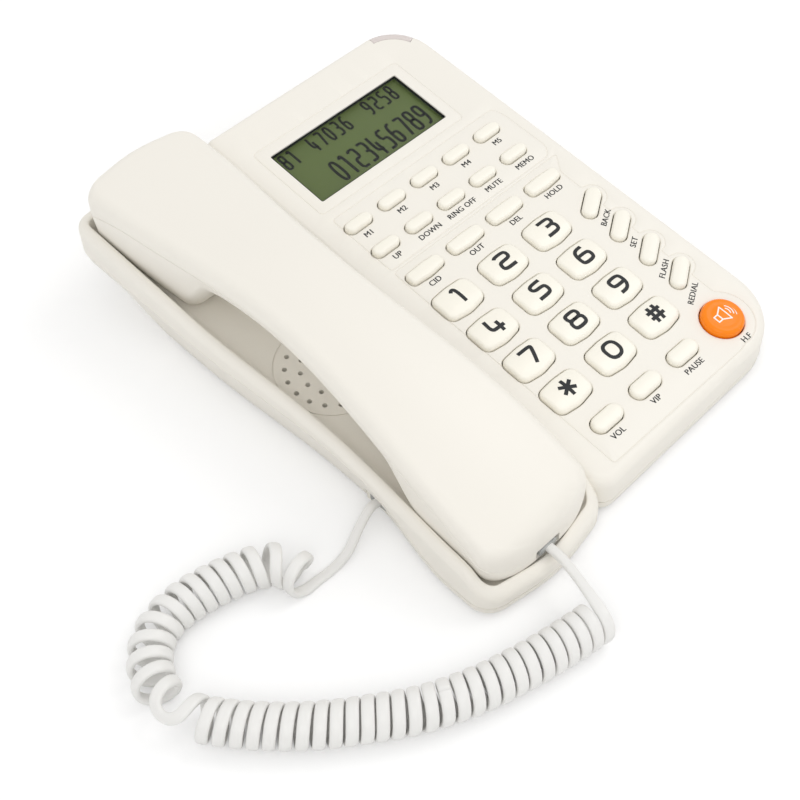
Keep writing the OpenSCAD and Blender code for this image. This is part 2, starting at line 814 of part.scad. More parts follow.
module hook_switch() {
  color(dark_colour)
    translate([cradle_x, hook_y, floor_z(hook_y) - wall - hook_rise - 2.8]) {
      translate([-7, -5, -7])
        cube([14, 10, 5.6]);
      translate([-2, -1.5, -1.5])
        cube([4, 3, 1.4]);
    }
}

// ---- Handset: sections across its length, joined end to end ----
handset_front = front_y + rim_w + 0.5;
handset_back = back_y - rim_w - 0.5;
grip_mid = (handset_front + handset_back) / 2 + 5;
function ridge_z(y) = handset_h - handset_drop * pow(max(0, (35 - y) / 133), 2);
parting_drop = 4.5;
function parting_z(y) = ridge_z(y) - parting_drop - 0.008 * pow(max(0, y - 70), 2)
  - 0.17 * max(0, -78 - y);
function end_in(y, r) = let (e = min(y - handset_front, handset_back - y))
  e >= r ? 0 : r - sqrt(max(0, r * r - (r - e) * (r - e)));
// Plan of the ends: a bowed curve whose power sets how square the corners are, from a short flat face
end_r = 9;
end_flat = 0.4;
end_power = 2.5;
function end_share(y) = let (e = (min(y - handset_front, handset_back - y) + end_flat) / (end_r + end_flat))
  e >= 1 ? 1 : pow(1 - pow(1 - e, end_power), 1 / end_power);
function half_w(y) = (handset_w / 2 - grip_in * bump((y - grip_mid) / 88)) * end_share(y);
function grip_z(y) = grip_h - 0.0035 * pow(y - 12, 2);
seat_gap = 0.2;
function ear_t(y) = smooth((y - 37) / 15);
function mic_t(y) = smooth((-49 - y) / 19);
// The ends of the two blocks rise as the well's end walls do
foot_end = 9;
function end_rise(y) = (y < 0 ? 3.6 : 8.4) * end_in(y, foot_end) / foot_end;
function under_z(y) = let (t = max(ear_t(y), mic_t(y)))
  grip_z(y) * (1 - t) + (floor_z(y) + seat_gap) * t + end_rise(y);
// Foot rounding: wide under the grip, narrow on the two blocks that sit in the well
function foot_w(y) = let (t = max(ear_t(y), mic_t(y))) 10 * (1 - t) + (well_round + 0.6) * t;

// Radius of the handset's upper edges
edge_w = 5.2;
// Upper half of a section from the right seam over the top to the left, drawn in by t
function top_arc(y, t) =
  let (h = half_w(y) - t, zs = parting_z(y), rise = ridge_z(y) + top_half_h - parting_drop - zs - t - end_in(y, 4.5),
    crown = 1.6, c = min(edge_w, h - 4), ch = min(edge_w, rise - crown - 0.4),
    r = concat([[h, zs]], [for (a = [0, 25, 50, 72, 90])
      [h - c + c * cos(a), zs + rise - crown - ch + ch * sin(a)]]),
    m = [for (s = [0.62, 0.3]) [(h - c) * s, zs + rise - crown * s * s]])
  concat([for (p = r) [p[0], y, p[1]]], [for (p = m) [p[0], y, p[1]]], [[0, y, zs + rise]],
    [for (i = [1:-1:0]) [-m[i][0], y, m[i][1]]], [for (i = [5:-1:0]) [-r[i][0], y, r[i][1]]]);

// Lower half of a section, the same way round
function foot_arc(y, t) =
  let (h = half_w(y) - t, zs = parting_z(y), z0 = under_z(y) + t, depth = zs - z0,
    ch = min(depth - 0.4, 8.8 - t), c = min(foot_w(y), h - 4), draft = 0.8 * min(1, depth / 18),
    r = [for (a = [0, 25, 50, 72, 90])
      [h - draft - c + c * cos(a), z0 + ch - ch * sin(a)]],
    m = [for (s = [0.5]) [(h - draft - c) * s, z0]])
  concat([[h, y, zs]], [for (p = r) [p[0], y, p[1]]], [for (p = m) [p[0], y, p[1]]], [[0, y, z0]],
    [for (p = m) [-p[0], y, p[1]]], [for (i = [4:-1:0]) [-r[i][0], y, r[i][1]]], [[-h, y, zs]]);

// Points on the straight parting line, for the solid end walls
function flat_arc(y, n) = let (h = half_w(y) - handset_wall)
  [for (i = [0:n - 1]) [h - 2 * h * i / (n - 1), y, parting_z(y)]];

handset_ys = let (f = handset_front, b = handset_back, w = handset_wall)
  concat([f, f + 0.4, f + 1.1, f + w, f + w + 0.3, f + 3.4, f + 5, f + 7, f + 9.4],
    [for (y = [-85, -79, -74, -68, -63, -58, -53, -46, -36, -24, -12, 0, 12, 24, 34, 39, 43, 47, 51, 57,
      66, 76, 84]) y],
    [b - 9.4, b - 7, b - 5, b - 3.4, b - w - 0.3, b - w, b - 1.1, b - 0.4, b]);

function reverse(v) = [for (i = [len(v) - 1:-1:0]) v[i]];

// Closed skin between rows of outer arcs and inner arcs of equal length
module skin_loft(outers, inners) {
  n = len(outers[0]);
  k = len(outers);
  loops = [for (j = [0:k - 1]) concat(outers[j], reverse(inners[j]))];
  cap = [for (i = [0:n - 2]) let (a = i, b = i + 1, c = 2 * n - 2 - i, d = 2 * n - 1 - i)
    i < n / 2 ? [b, c, d, a] : [a, b, c, d]];
  polyhedron([for (l = loops) each l],
    concat(cap, side_faces(2 * n, k), [for (q = cap) [for (i = [3:-1:0]) (k - 1) * 2 * n + q[(i + 1) % 4]]]),
    convexity = 6);
}

// One half of the handset, top (1) or bottom (-1), as loops of outer and inner points
module handset_half(top) {
  f = handset_front + handset_wall + 0.1;
  b = handset_back - handset_wall - 0.1;
  translate([cradle_x, 0, 0])
    skin_loft([for (y = handset_ys) top > 0 ? top_arc(y, 0) : reverse(foot_arc(y, 0))],
      [for (y = handset_ys)
        let (n = top > 0 ? len(top_arc(y, 0)) : len(foot_arc(y, 0)),
          inner = y < f || y > b ? flat_arc(y, n)
            : top > 0 ? top_arc(y, handset_wall) : foot_arc(y, handset_wall))
        top > 0 ? inner : reverse(inner)]);
}

ear_y = back_y - 26;
mic_y = front_y + 24;
slot_w = 10.8;
slot_z = 12.9;
slot_h = 4.6;

module handset_upper_shell() {
  color(shell_colour)
    handset_half(1);
}

module handset_lower_shell() {
  color(shell_colour)
    difference() {
      handset_half(-1);
      // Ear holes and mouthpiece holes through the floors of the two blocks
      for (h = [[0, 0], for (i = [0:7]) [5.5 * cos(45 * i), 5.5 * sin(45 * i)]])
        translate([cradle_x + h[0], ear_y + h[1], floor_z(ear_y) - 4])
          cylinder(d = 2, h = 10, $fn = 24);
      for (i = [-1:1])
        translate([cradle_x + 3 * i, mic_y, floor_z(mic_y) - 4])
          cylinder(d = 1.6, h = 10, $fn = 24);
      // Socket slot in the front face
      at_slot()
        translate([-slot_w / 2, -3, -slot_h / 2])
          cube([slot_w, handset_wall + 5, slot_h]);
    }
}

module receiver_capsule() {
  color(metal_colour)
    translate([cradle_x, ear_y, floor_z(ear_y) + seat_gap + handset_wall + 1.7]) {
      cylinder(d = 30, h = 7, $fn = 96);
      translate([0, 0, 6.9])
        cylinder(d = 14, h = 2, $fn = 64);
    }
}

module microphone_capsule() {
  color(metal_colour)
    translate([cradle_x, mic_y, floor_z(mic_y) + seat_gap + handset_wall + 1])
      cylinder(d = 9.7, h = 5, $fn = 64);
}

// The handset's socket and plug lie along the sloping floor of the cradle
module at_slot() {
  translate([cradle_x, handset_front, slot_z])
    rotate([rim_angle, 0, 0])
      children();
}
slot_plug_h = 3.2;

module handset_jack() {
  color(dark_colour)
    at_slot()
      difference() {
        translate([-jack_w / 2 + 0.3, handset_wall + 0.9, -1.95])
          cube([jack_w - 0.6, jack_len - 1.2, 6]);
        translate([-plug_w / 2 - 0.1, 0, -slot_plug_h / 2 - 0.05])
          cube([plug_w + 0.2, plug_len + 0.6, slot_plug_h + 0.1]);
      }
}

module handset_weight() {
  color(metal_colour)
    translate([cradle_x - 7, 2, parting_z(2) - 2.6])
      cube([14, 26, 4]);
}

// ---- Handset cord ----
// Middle line of the coil on the desk, from the base's end to the handset's end
COIL = [[-109.5, -51], [-110.2, -45], [-113.5, -39.5], [-120, -35.5], [-129, -32.5], [-139, -30.5],
  [-149, -30.5], [-157.5, -34], [-164, -41], [-167.2, -50], [-166.5, -59], [-160.5, -69.5],
  [-152, -80], [-142, -90], [-130, -99.5], [-116, -109], [-101, -116], [-85, -121], [-71, -124.2],
  [-57, -126.6]];
coil_z = curl_r + cord_t / 2;

// Point on a smooth line through the points p, where s counts the points
function spline(p, s) = let (n = len(p) - 1, i = min(n - 1, max(0, floor(s))), t = s - i,
    a = p[max(0, i - 1)], b = p[i], c = p[i + 1], d = p[min(n, i + 2)])
  0.5 * (2 * b + (c - a) * t + (2 * a - 5 * b + 4 * c - d) * t * t + (3 * b - 3 * c + d - a) * t * t * t);

coil_steps = len(COIL) - 1;
function coil_axis(s) = let (e = 0.02,
    t = spline(COIL, min(coil_steps, s + e)) - spline(COIL, max(0, s - e)))
  unit([t[0], t[1], 0]);
function coil_side(s, d) = let (a = coil_axis(s), c = spline(COIL, s)) [c[0] - a[1] * d, c[1] + a[0] * d];

// The curls lie evenly along the inside of each bend, so the table turns inside length into s
fine_n = 152;
fine_gap = [for (i = [0:fine_n - 1]) let (s = i * coil_steps / fine_n, e = (i + 1) * coil_steps / fine_n)
  min([for (d = [-curl_r, curl_r]) norm(coil_side(e, d) - coil_side(s, d))])];
inside = [for (i = 0, a = 0; i <= fine_n; a = a + (i < fine_n ? fine_gap[i] : 0), i = i + 1)
  [a, i * coil_steps / fine_n]];
inside_l = inside[fine_n][0];
rings_per_curl = 8;
curl_pitch = cord_w + curl_gap;

// The coil changes hand once: there the cord turns back on itself over turn_l of the coil's length
turn_l = 8;
turn_w = 0.35;
curls = floor((inside_l - turn_l) / curl_pitch) - 0.5;
turn_at = (curls + 0.5) / 2 - 7.5;
coil_rings = curls * rings_per_curl;
function turn_far(c) = sqrt((c - turn_at) * (c - turn_at) + turn_w * turn_w);
function curl_place(c) = curl_pitch * c + turn_l / 2 * (1 + (c - turn_at) / turn_far(c));

// Centre of the cord at ring i and the direction out of the coil there
function coil_ring(i) =
  let (k = i / rings_per_curl, phase = -90 + 360 * (turn_far(0) - turn_far(k)),
    far = (curl_place(k) - curl_place(0)) / (curl_place(curls) - curl_place(0)),
    s = lookup(far * inside_l, inside), c = spline(COIL, s), a = coil_axis(s),
    out = [-a[1], a[0], 0] * cos(phase) + [0, 0, 1] * sin(phase))
  [[c[0], c[1], coil_z] + out * curl_r, out];
coil_centres = [for (i = [0:coil_rings]) coil_ring(i)];

// Centre of the cord at ring i, and the two directions of its section, square to the cord
coil_path = [for (i = [0:coil_rings])
  let (p = coil_centres[i], t = unit(coil_centres[min(i + 1, coil_rings)][0] - coil_centres[max(i - 1, 0)][0]),
    along = unit(cross(p[1], t)))
  [p[0], cross(t, along), along]];

// Least gap between a ring's points and those of its neighbours, from five rings on
curl_rings = [for (r = coil_path) flat_section(r[0], r[1], r[2])];
least_gap = min([for (i = [0:coil_rings - 5], j = [5:min(12, coil_rings - i)], p = curl_rings[i],
  q = curl_rings[i + j]) norm(p - q)]);
echo(least_gap_between_curls = least_gap, curls = curls);
echo(cord_length_in_coil = sum_steps([for (r = coil_path) r[0]]));
function sum_steps(v) = let (d = [for (i = [1:len(v) - 1]) norm(v[i] - v[i - 1])]) d * [for (x = d) 1];

// Six-sided flat section of the cord
function flat_section(c, out, along) = [for (k = [0:5]) let (q = 60 * k)
  c + along * cord_w / 2 * cos(q) + out * cord_t / 2 * sin(q) / sin(60)];

module cord_coil() {
  color(cord_colour)
    loft(curl_rings);
}

// Out of the base's socket and over the desk to the first curl
LEAD_BASE = [[jack_mouth - 0.4, jack_y, jack_z], [jack_mouth - 4.4, jack_y, jack_z],
  [-84, -48.2, 5], [-91, -50.6, 2.4], [-98, -51.4, 1.3], [-105, -51.1, cord_t / 2],
  coil_path[0][0]];
// Out of the handset's socket and straight over the top of the last curl
LEAD_HANDSET = [[cradle_x, handset_front - 0.4 * cos(rim_angle), slot_z - 0.4 * sin(rim_angle)],
  [cradle_x, handset_front - 4.4, slot_z], [-52.2, -111, 13.2], [-54.8, -119.5, 13.6],
  coil_path[coil_rings][0] + 0.05 * heading(coil_path[coil_rings])];

// Straight tube of the flat cord along the points p, with its end faces square to first and last
module lead(p, n, first, last) {
  path = [for (i = [0:n]) spline(p, i * (len(p) - 1) / n)];
  loft([for (i = [0:n])
    let (t = i == 0 ? first : i == n ? last : unit(path[i + 1] - path[i - 1]),
      side = unit(cross([0, 0, 1], t)), up = cross(t, side))
    [for (k = [0:7]) let (a = 360 * k / 8 + 22.5)
      path[i] + side * cord_w / 2 * cos(a) + up * cord_t / 2 * sin(a)]]);
}
function heading(ring) = cross(ring[2], ring[1]);

module cord_lead_base() {
  color(cord_colour)
    lead(LEAD_BASE, 14, [-1, 0, 0], heading(coil_path[0]));
}

module cord_lead_handset() {
  color(cord_colour)
    lead(LEAD_HANDSET, 16, [0, -cos(rim_angle), -sin(rim_angle)], -heading(coil_path[coil_rings]));
}

module cord_plug_base() {
  color("#E4E8EA", 0.8)
    translate([jack_mouth - 0.4, jack_y - plug_w / 2, jack_z - plug_h / 2])
      cube([plug_len, plug_w, plug_h]);
}

module cord_plug_handset() {
  color("#E4E8EA", 0.8)
    at_slot()
      translate([-plug_w / 2, -0.4, -slot_plug_h / 2])
        cube([plug_w, plug_len, slot_plug_h]);
}

// ---- Drawing ----
base_upper_shell();
base_lower_shell();
display_window();
display_module();
message_lamp_lens();
main_board();
keypad_mat();
loudspeaker();
base_cord_jack();
line_jack();
rubber_feet();
base_screws();
battery_door();
hook_plunger();
hook_switch();
handset_upper_shell();
handset_lower_shell();
receiver_capsule();
microphone_capsule();
handset_jack();
handset_weight();
cord_lead_base();
cord_coil();
cord_lead_handset();
cord_plug_base();
cord_plug_handset();
for (k = KEYS)
  color(k[1] == ROUND ? orange_colour : key_colour) key_body(k);
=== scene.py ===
"""Looks of a corded desk telephone: cream keypad base with a small display, a side cradle with its
handset, travelling keys and a flat curly cord.

Lengths in the shape functions are millimetres in the part's own frame (+X right, +Y back, +Z up, the
origin on the desk) and become metres when a mesh is made.
"""
import math

import bmesh
import bpy
import numpy as np
from mathutils.geometry import delaunay_2d_cdt
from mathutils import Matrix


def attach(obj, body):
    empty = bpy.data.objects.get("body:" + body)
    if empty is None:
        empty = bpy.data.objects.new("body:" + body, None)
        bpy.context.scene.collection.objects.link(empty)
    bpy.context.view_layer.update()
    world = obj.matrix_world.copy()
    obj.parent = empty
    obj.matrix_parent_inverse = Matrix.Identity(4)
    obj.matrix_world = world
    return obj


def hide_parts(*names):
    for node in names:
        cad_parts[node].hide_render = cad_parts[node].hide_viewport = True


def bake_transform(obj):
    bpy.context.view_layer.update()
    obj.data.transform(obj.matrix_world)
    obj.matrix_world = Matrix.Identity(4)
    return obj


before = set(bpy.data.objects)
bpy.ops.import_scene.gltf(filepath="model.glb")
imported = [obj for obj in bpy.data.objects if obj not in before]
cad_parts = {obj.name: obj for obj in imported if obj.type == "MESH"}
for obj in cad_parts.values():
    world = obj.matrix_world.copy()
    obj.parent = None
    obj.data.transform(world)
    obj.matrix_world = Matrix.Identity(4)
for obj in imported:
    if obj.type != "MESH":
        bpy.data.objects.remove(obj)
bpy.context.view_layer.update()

bl_info = {
    "name": "Corded desk telephone",
    "version": (1, 0, 0),
    "blender": (4, 5, 0),
    "location": "View3D > Sidebar > Telephone",
    "description": "Builds the shells, keys, display, handset and curly cord of a desk telephone",
    "category": "Object",
}

MM = 0.001

# ---- Sizes of the base, in millimetres ----
LEFT_X, RIGHT_X = -79.0, 79.0
FRONT_Y, BACK_Y = -104.5, 104.5
CRADLE_W = 56.6
CRADLE_X = LEFT_X + CRADLE_W / 2
BODY_LEFT = LEFT_X + CRADLE_W - 1.6
BODY_FRONT, BODY_BACK = FRONT_Y + 4.8, BACK_Y - 10.9
PANEL_Y0, PANEL_H = FRONT_Y + 1.8, 14.5
SLOPE = math.radians(9)
SIN, COS = math.sin(SLOPE), math.cos(SLOPE)
WALL, EDGE_R = 2.4, 3.0
RIM_W, RIM_R, WELL_ROUND, WELL_DEPTH = 4.2, 1.0, 5.0, 9.0
RIM_SLOPE = 0.11
RIM_TILT = math.atan(RIM_SLOPE)
KEY_GAP, KEY_LIP, KEY_RISE = 0.35, 0.45, 1.8
FRONT_SEAM = 4.8


def smooth(t):
    """Cubic ease from 0 to 1."""
    t = np.clip(t, 0.0, 1.0)
    return t * t * (3 - 2 * t)


def bump(t):
    """Cosine hump, 1 at 0 and nothing past plus or minus 1."""
    return np.where(np.abs(t) >= 1, 0.0, (np.cos(np.pi * np.clip(t, -1, 1)) + 1) / 2)


def unit(rows):
    """Each row scaled to a length of 1."""
    return rows / np.linalg.norm(rows, axis=1, keepdims=True)


def level(p, z):
    """Plane points at the height z, one number or one for each point."""
    return np.column_stack([p, np.broadcast_to(z, len(p))])


def panel_z(y):
    """Height of the sloping panel at y."""
    return PANEL_H + (y - PANEL_Y0) * math.tan(SLOPE)


def rim_plane(y):
    """Height of the plane that the cradle's rim follows."""
    return 16.1 + RIM_SLOPE * (y - FRONT_Y)


def rim_z(y):
    """Height of the cradle's rim, which eases down by 6 mm towards its front end."""
    return rim_plane(y) - 6.0 * smooth((FRONT_Y + 17 - y) / 14)


def floor_z(y):
    """Height of the well's floor."""
    return rim_plane(y) - WELL_DEPTH


def seam_z(y):
    """Height of the parting line: low at the front, eased up over 40 mm, then gently rising."""
    return FRONT_SEAM + 14 * smooth((y - FRONT_Y - 22) / 40) + 0.055 * np.maximum(0, y - FRONT_Y - 62)


def waist(y):
    """How far the cradle's left side is drawn in at y."""
    return 3.0 * bump((y - FRONT_Y - 78) / 68)


def from_panel(u, v, w):
    """A point of the sloping panel's frame (right, up the slope, out) as a point of the part's frame."""
    return np.stack([u + 0 * v, PANEL_Y0 + v * COS - w * SIN, PANEL_H + v * SIN + w * COS], axis=-1)


def to_panel(xy, w):
    """Where points seen from above lie on the plane w above the panel, as (u, v)."""
    return np.stack([xy[:, 0], (xy[:, 1] - PANEL_Y0 + w * SIN) / COS], axis=-1)


def with_rim(p, origin):
    """Points turned to the rim's slope about X and moved to an origin."""
    s, c = math.sin(RIM_TILT), math.cos(RIM_TILT)
    return np.column_stack([p[:, 0], p[:, 1] * c - p[:, 2] * s, p[:, 1] * s + p[:, 2] * c]) + origin


# ---- Outlines: rows of x, y and the outward normal, counter-clockwise ----
def arc_corner(p0, p1, p2, r, n):
    """Round corner of radius r at p1, tangent to both edges."""
    d1, d2 = p1 - p0, p2 - p1
    d1, d2 = d1 / np.linalg.norm(d1), d2 / np.linalg.norm(d2)
    n1, n2 = np.array([d1[1], -d1[0]]), np.array([d2[1], -d2[0]])
    centre = p1 - (n1 + n2) * r / (1 + n1 @ n2)
    start, turn = math.atan2(n1[1], n1[0]), math.acos(np.clip(n1 @ n2, -1, 1))
    a = start + turn * np.linspace(0, 1, n + 1)
    normal = np.stack([np.cos(a), np.sin(a)], axis=-1)
    return np.hstack([centre + r * normal, normal])


def between(a, b, step):
    """Evenly spaced rows between two outline rows, without the two ends."""
    m = int(np.linalg.norm(b[:2] - a[:2]) // step)
    t = np.linspace(0, 1, m + 1)[1:-1, None] if m >= 2 else np.zeros((0, 1))
    return a + (b - a) * t


def outline(corners, rounds, n, step):
    """Closed outline of straight edges and round corners."""
    p = np.array(corners, float)
    k = len(p)
    arcs = [arc_corner(p[i - 1], p[i], p[(i + 1) % k], rounds[i], n) for i in range(k)]
    rows = [np.vstack([arcs[i], between(arcs[i][-1], arcs[(i + 1) % k][0], step)]) for i in range(k)]
    return np.vstack(rows)


def rectangle(u, v, w, h, r, n=6, step=4.0):
    """Outline of a rectangle about (u, v) with round corners."""
    return outline([[u - w / 2, v - h / 2], [u + w / 2, v - h / 2], [u + w / 2, v + h / 2],
                    [u - w / 2, v + h / 2]], [r] * 4, n, step)


def grown(rows, d):
    """An outline's points moved outwards by d."""
    return rows[:, :2] + rows[:, 2:] * d


def radii(rows):
    """Radius of an outline's curve between each row and the next, vast along a straight edge."""
    step = np.roll(rows, -1, axis=0) - rows
    return np.linalg.norm(step[:, :2], axis=1) / np.maximum(np.linalg.norm(step[:, 2:], axis=1), 1e-9)


def drawn_in(rows, d):
    """An outline moved in by d. A round corner of a smaller radius than d shrinks to its centre and then
    follows the line that halves the corner."""
    p, n, r = grown(rows, -d), rows[:, 2:], radii(rows)
    tight = np.flatnonzero(r < d)
    for run in np.split(tight, np.flatnonzero(np.diff(tight) > 1) + 1):
        if len(run):
            ends = n[run[0]] + n[run[-1] + 1]
            centre = (rows[run, :2] - n[run] * r[run, None]).mean(axis=0)
            p[run[0]:run[-1] + 2] = centre - (d - r[run].mean()) * ends / (ends @ ends / 2)
    return p


def soft_loop(points, sigma, step=0.5):
    """Closed loop resampled evenly and smoothed with a Gaussian of that width along its length."""
    p = np.vstack([points, points[:1]])
    s = np.concatenate([[0], np.cumsum(np.linalg.norm(np.diff(p, axis=0), axis=1))])
    n = int(s[-1] / step)
    t = np.linspace(0, s[-1], n, endpoint=False)
    z = np.interp(t, s, p[:, 0]) + 1j * np.interp(t, s, p[:, 1])
    f = np.fft.fftfreq(n, s[-1] / n)
    z = np.fft.ifft(np.fft.fft(z) * np.exp(-0.5 * (2 * np.pi * f * sigma) ** 2))
    q = np.stack([z.real, z.imag], axis=-1)
    t = unit(np.roll(q, -1, axis=0) - np.roll(q, 1, axis=0))
    normal = np.stack([t[:, 1], -t[:, 0]], axis=-1)
    area = np.sum(q[:, 0] * np.roll(q[:, 1], -1) - np.roll(q[:, 0], -1) * q[:, 1])
    return np.hstack([q, normal if area > 0 else -normal])


BODY = outline([[BODY_LEFT, BODY_FRONT], [RIGHT_X + 0.35, BODY_FRONT + 2.5],
                [RIGHT_X - 3.2, BODY_BACK], [BODY_LEFT, BODY_BACK]], [7, 22, 18, 4], 22, 3.0)


def cradle_outline():
    """Cradle from above: bowed ends, round corners and a waist on its left side."""
    w, n, bow_r = CRADLE_W / 2, 20, 60
    front, back = [0, FRONT_Y - 0.7], [0, BACK_Y + 0.3]
    (front_left, front_right), (back_left, back_right) = [
        ([-w, y], [w, y]) for y in (FRONT_Y + 4.2, BACK_Y - 2.6)]
    corners = [(front_left, front, front_right, bow_r), (front, front_right, [w, 0], 9),
               ([w, 0], back_right, back, 7), (back_right, back, back_left, bow_r)]
    front, fr, br, back = (arc_corner(*np.array(c[:3]), c[3], n) for c in corners)
    half = np.vstack([front[n // 2:], fr, between(fr[-1], br[0], 3.0), br, back[:n // 2 + 1]])
    left = half[-2:0:-1].copy()
    left[:, 0] = -left[:, 0] + waist(left[:, 1]) * np.minimum(1, np.abs(left[:, 2]) * 2)
    left[:, 2] *= -1
    rows = np.vstack([half, left])
    rows[:, 0] += CRADLE_X
    return rows


CRADLE = cradle_outline()


# ---- Mesh building ----
class Mesh:
    """Points and faces gathered from many strips, in millimetres."""

    def __init__(self):
        self.points, self.faces, self.count = [], [], 0

    def add(self, points, faces):
        """Adds points (n x 3) and faces (rows of point numbers)."""
        self.points.append(np.asarray(points, float))
        self.faces += (np.asarray(faces) + self.count).tolist()
        self.count += len(points)

    def join(self, other):
        """Takes in another mesh."""
        self.points += other.points
        self.faces += [[i + self.count for i in f] for f in other.faces]
        self.count += other.count

    def moved(self, place):
        """This mesh with its points put through place."""
        self.points = [place(p) for p in self.points]
        return self

    def strip(self, loops, closed=True, flip=False):
        """Faces between rows of points of equal length; closed joins each row's ends."""
        grid = np.asarray(loops, float)
        k, n = grid.shape[:2]
        i = np.arange(n if closed else n - 1)
        a = (np.arange(k - 1)[:, None] * n + i).ravel()
        b = (np.arange(k - 1)[:, None] * n + (i + 1) % n).ravel()
        quads = np.stack([a, b, b + n, a + n], axis=-1)
        self.add(grid.reshape(-1, 3), quads[:, ::-1] if flip else quads)

    def polygon(self, loop, flip=False):
        """One flat face with the loop's points."""
        order = np.arange(len(loop))
        self.add(loop, [order[::-1] if flip else order])

    def loft(self, loops, flip=False):
        """This mesh with a closed solid added: strips between the loops and a face at both ends."""
        self.strip(loops, flip=flip)
        self.polygon(loops[0], flip=not flip)
        self.polygon(loops[-1], flip=flip)
        return self

    def fill(self, loops, place, flip=False):
        """Flat region between plane loops, as Delaunay triangles whose centres have an odd number of the
        loops' edges to their right. place turns (u, v) rows into points."""
        verts = np.vstack(loops).astype(np.float32).astype(float)
        edges, start = [], 0
        for loop in loops:
            i = np.arange(len(loop))
            edges.append(np.stack([start + i, start + (i + 1) % len(loop)], axis=-1))
            start += len(loop)
        edges = np.vstack(edges)
        out = delaunay_2d_cdt([tuple(p) for p in verts], [tuple(e) for e in edges.tolist()], [], 0, 1e-7)
        p = np.array([tuple(v) for v in out[0]])
        f = np.array([list(t) for t in out[2]])
        x, y = p[f].mean(axis=1).T
        a, b = verts[edges[:, 0]], verts[edges[:, 1]]
        odd = np.zeros(len(f), bool)
        for (ax, ay), (bx, by) in zip(a.tolist(), b.tolist()):
            if ay != by:
                odd ^= ((ay > y) != (by > y)) & (ax + (y - ay) * (bx - ax) / (by - ay) > x)
        self.add(place(p), f[odd][:, ::-1] if flip else f[odd])

    def data(self, name, merge=0.0004):
        """The Blender mesh, in metres, with doubles closer than merge joined."""
        mesh = bpy.data.meshes.new(name)
        mesh.from_pydata((np.vstack(self.points) * MM).tolist(), [], self.faces)
        bm = bmesh.new()
        bm.from_mesh(mesh)
        bmesh.ops.remove_doubles(bm, verts=bm.verts, dist=merge * MM)
        bmesh.ops.delete(bm, geom=[v for v in bm.verts if not v.link_faces], context="VERTS")
        bm.to_mesh(mesh)
        bm.free()
        return mesh


def put(name, data):
    """A new object in the scene."""
    obj = bpy.data.objects.new(name, data)
    bpy.context.scene.collection.objects.link(obj)
    return obj


def settled(obj):
    """The mesh that an object's modifiers or typeface make."""
    bpy.context.view_layer.update()
    return bpy.data.meshes.new_from_object(obj.evaluated_get(bpy.context.evaluated_depsgraph_get()))


def piece(name, shape, finish, body, nodes=(), sharp=32.0, merge=0.0004):
    """An object of the finished shape that rides on its body and stands for its CAD nodes."""
    data = shape.data(name, merge) if isinstance(shape, Mesh) else shape
    data.materials.clear()
    data.materials.append(MATERIALS[finish])
    data.shade_smooth()
    data.set_sharp_from_angle(angle=math.radians(sharp))
    obj = put(name, data)
    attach(obj, body)
    if nodes:
        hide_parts(*nodes)
    return obj


def cut(shape, cutters, operation="DIFFERENCE"):
    """The shape with closed cutters taken away, added or kept, one after the other."""
    host, *tools = [put("shape", s.data("shape") if isinstance(s, Mesh) else s) for s in (shape, *cutters)]
    for tool in tools:
        modifier = host.modifiers.new("cut", "BOOLEAN")
        modifier.operation, modifier.solver, modifier.object = operation, "MANIFOLD", tool
    result = settled(host)
    for obj in [host, *tools]:
        bpy.data.objects.remove(obj)
    if not len(result.polygons):
        raise RuntimeError("a cut left nothing")
    return result


def prism(loop, low, high, place=level):
    """Closed prism over a plane loop between two heights."""
    return Mesh().loft([place(loop, low), place(loop, high)])


def circle(d, n, centre=(0.0, 0.0)):
    """Rows of a circle's outline."""
    a = 2 * np.pi * np.arange(n) / n
    normal = np.stack([np.cos(a), np.sin(a)], axis=-1)
    return np.hstack([np.array(centre) + normal * d / 2, normal])


def rounded_box(size, r, n=5, centre=(0, 0, 0)):
    """Closed box with round edges: its plan outline rises through a quarter round, a straight wall and a
    second quarter round."""
    o, sz = rectangle(0, 0, size[0], size[1], r, n, 99), size[2] / 2
    a = np.linspace(0, np.pi / 2, n + 1)
    rows = [(r * (1 - math.sin(t)), -sz + r * (1 - math.cos(t))) for t in a]
    rows += [(r * (1 - math.cos(t)), sz - r * (1 - math.sin(t))) for t in a]
    return Mesh().loft([level(grown(o, -d), z) for d, z in rows]).moved(lambda p: p + centre)


# ---- Colours and materials ----
def colour(code):
    """Linear RGBA of an sRGB hex value."""
    c = [int(code[i:i + 2], 16) / 255 for i in (1, 3, 5)]
    return tuple(x / 12.92 if x <= 0.04045 else ((x + 0.055) / 1.055) ** 2.4 for x in c) + (1.0,)


def node(tree, kind, settings=None, **links):
    """Adds a node, sets its settings (attributes or sockets by name) and links its sockets."""
    n = tree.nodes.new(kind)
    for key, value in (settings or {}).items():
        if hasattr(n, key):
            setattr(n, key, value)
        else:
            n.inputs[key].default_value = value
    for key, value in links.items():
        tree.links.new(value, n.inputs[key.replace("_", " ")])
    return n


def fresh_tree(owner):
    """The node tree of a material or world, switched on and emptied."""
    owner.use_nodes = True
    owner.node_tree.nodes.clear()
    return owner.node_tree


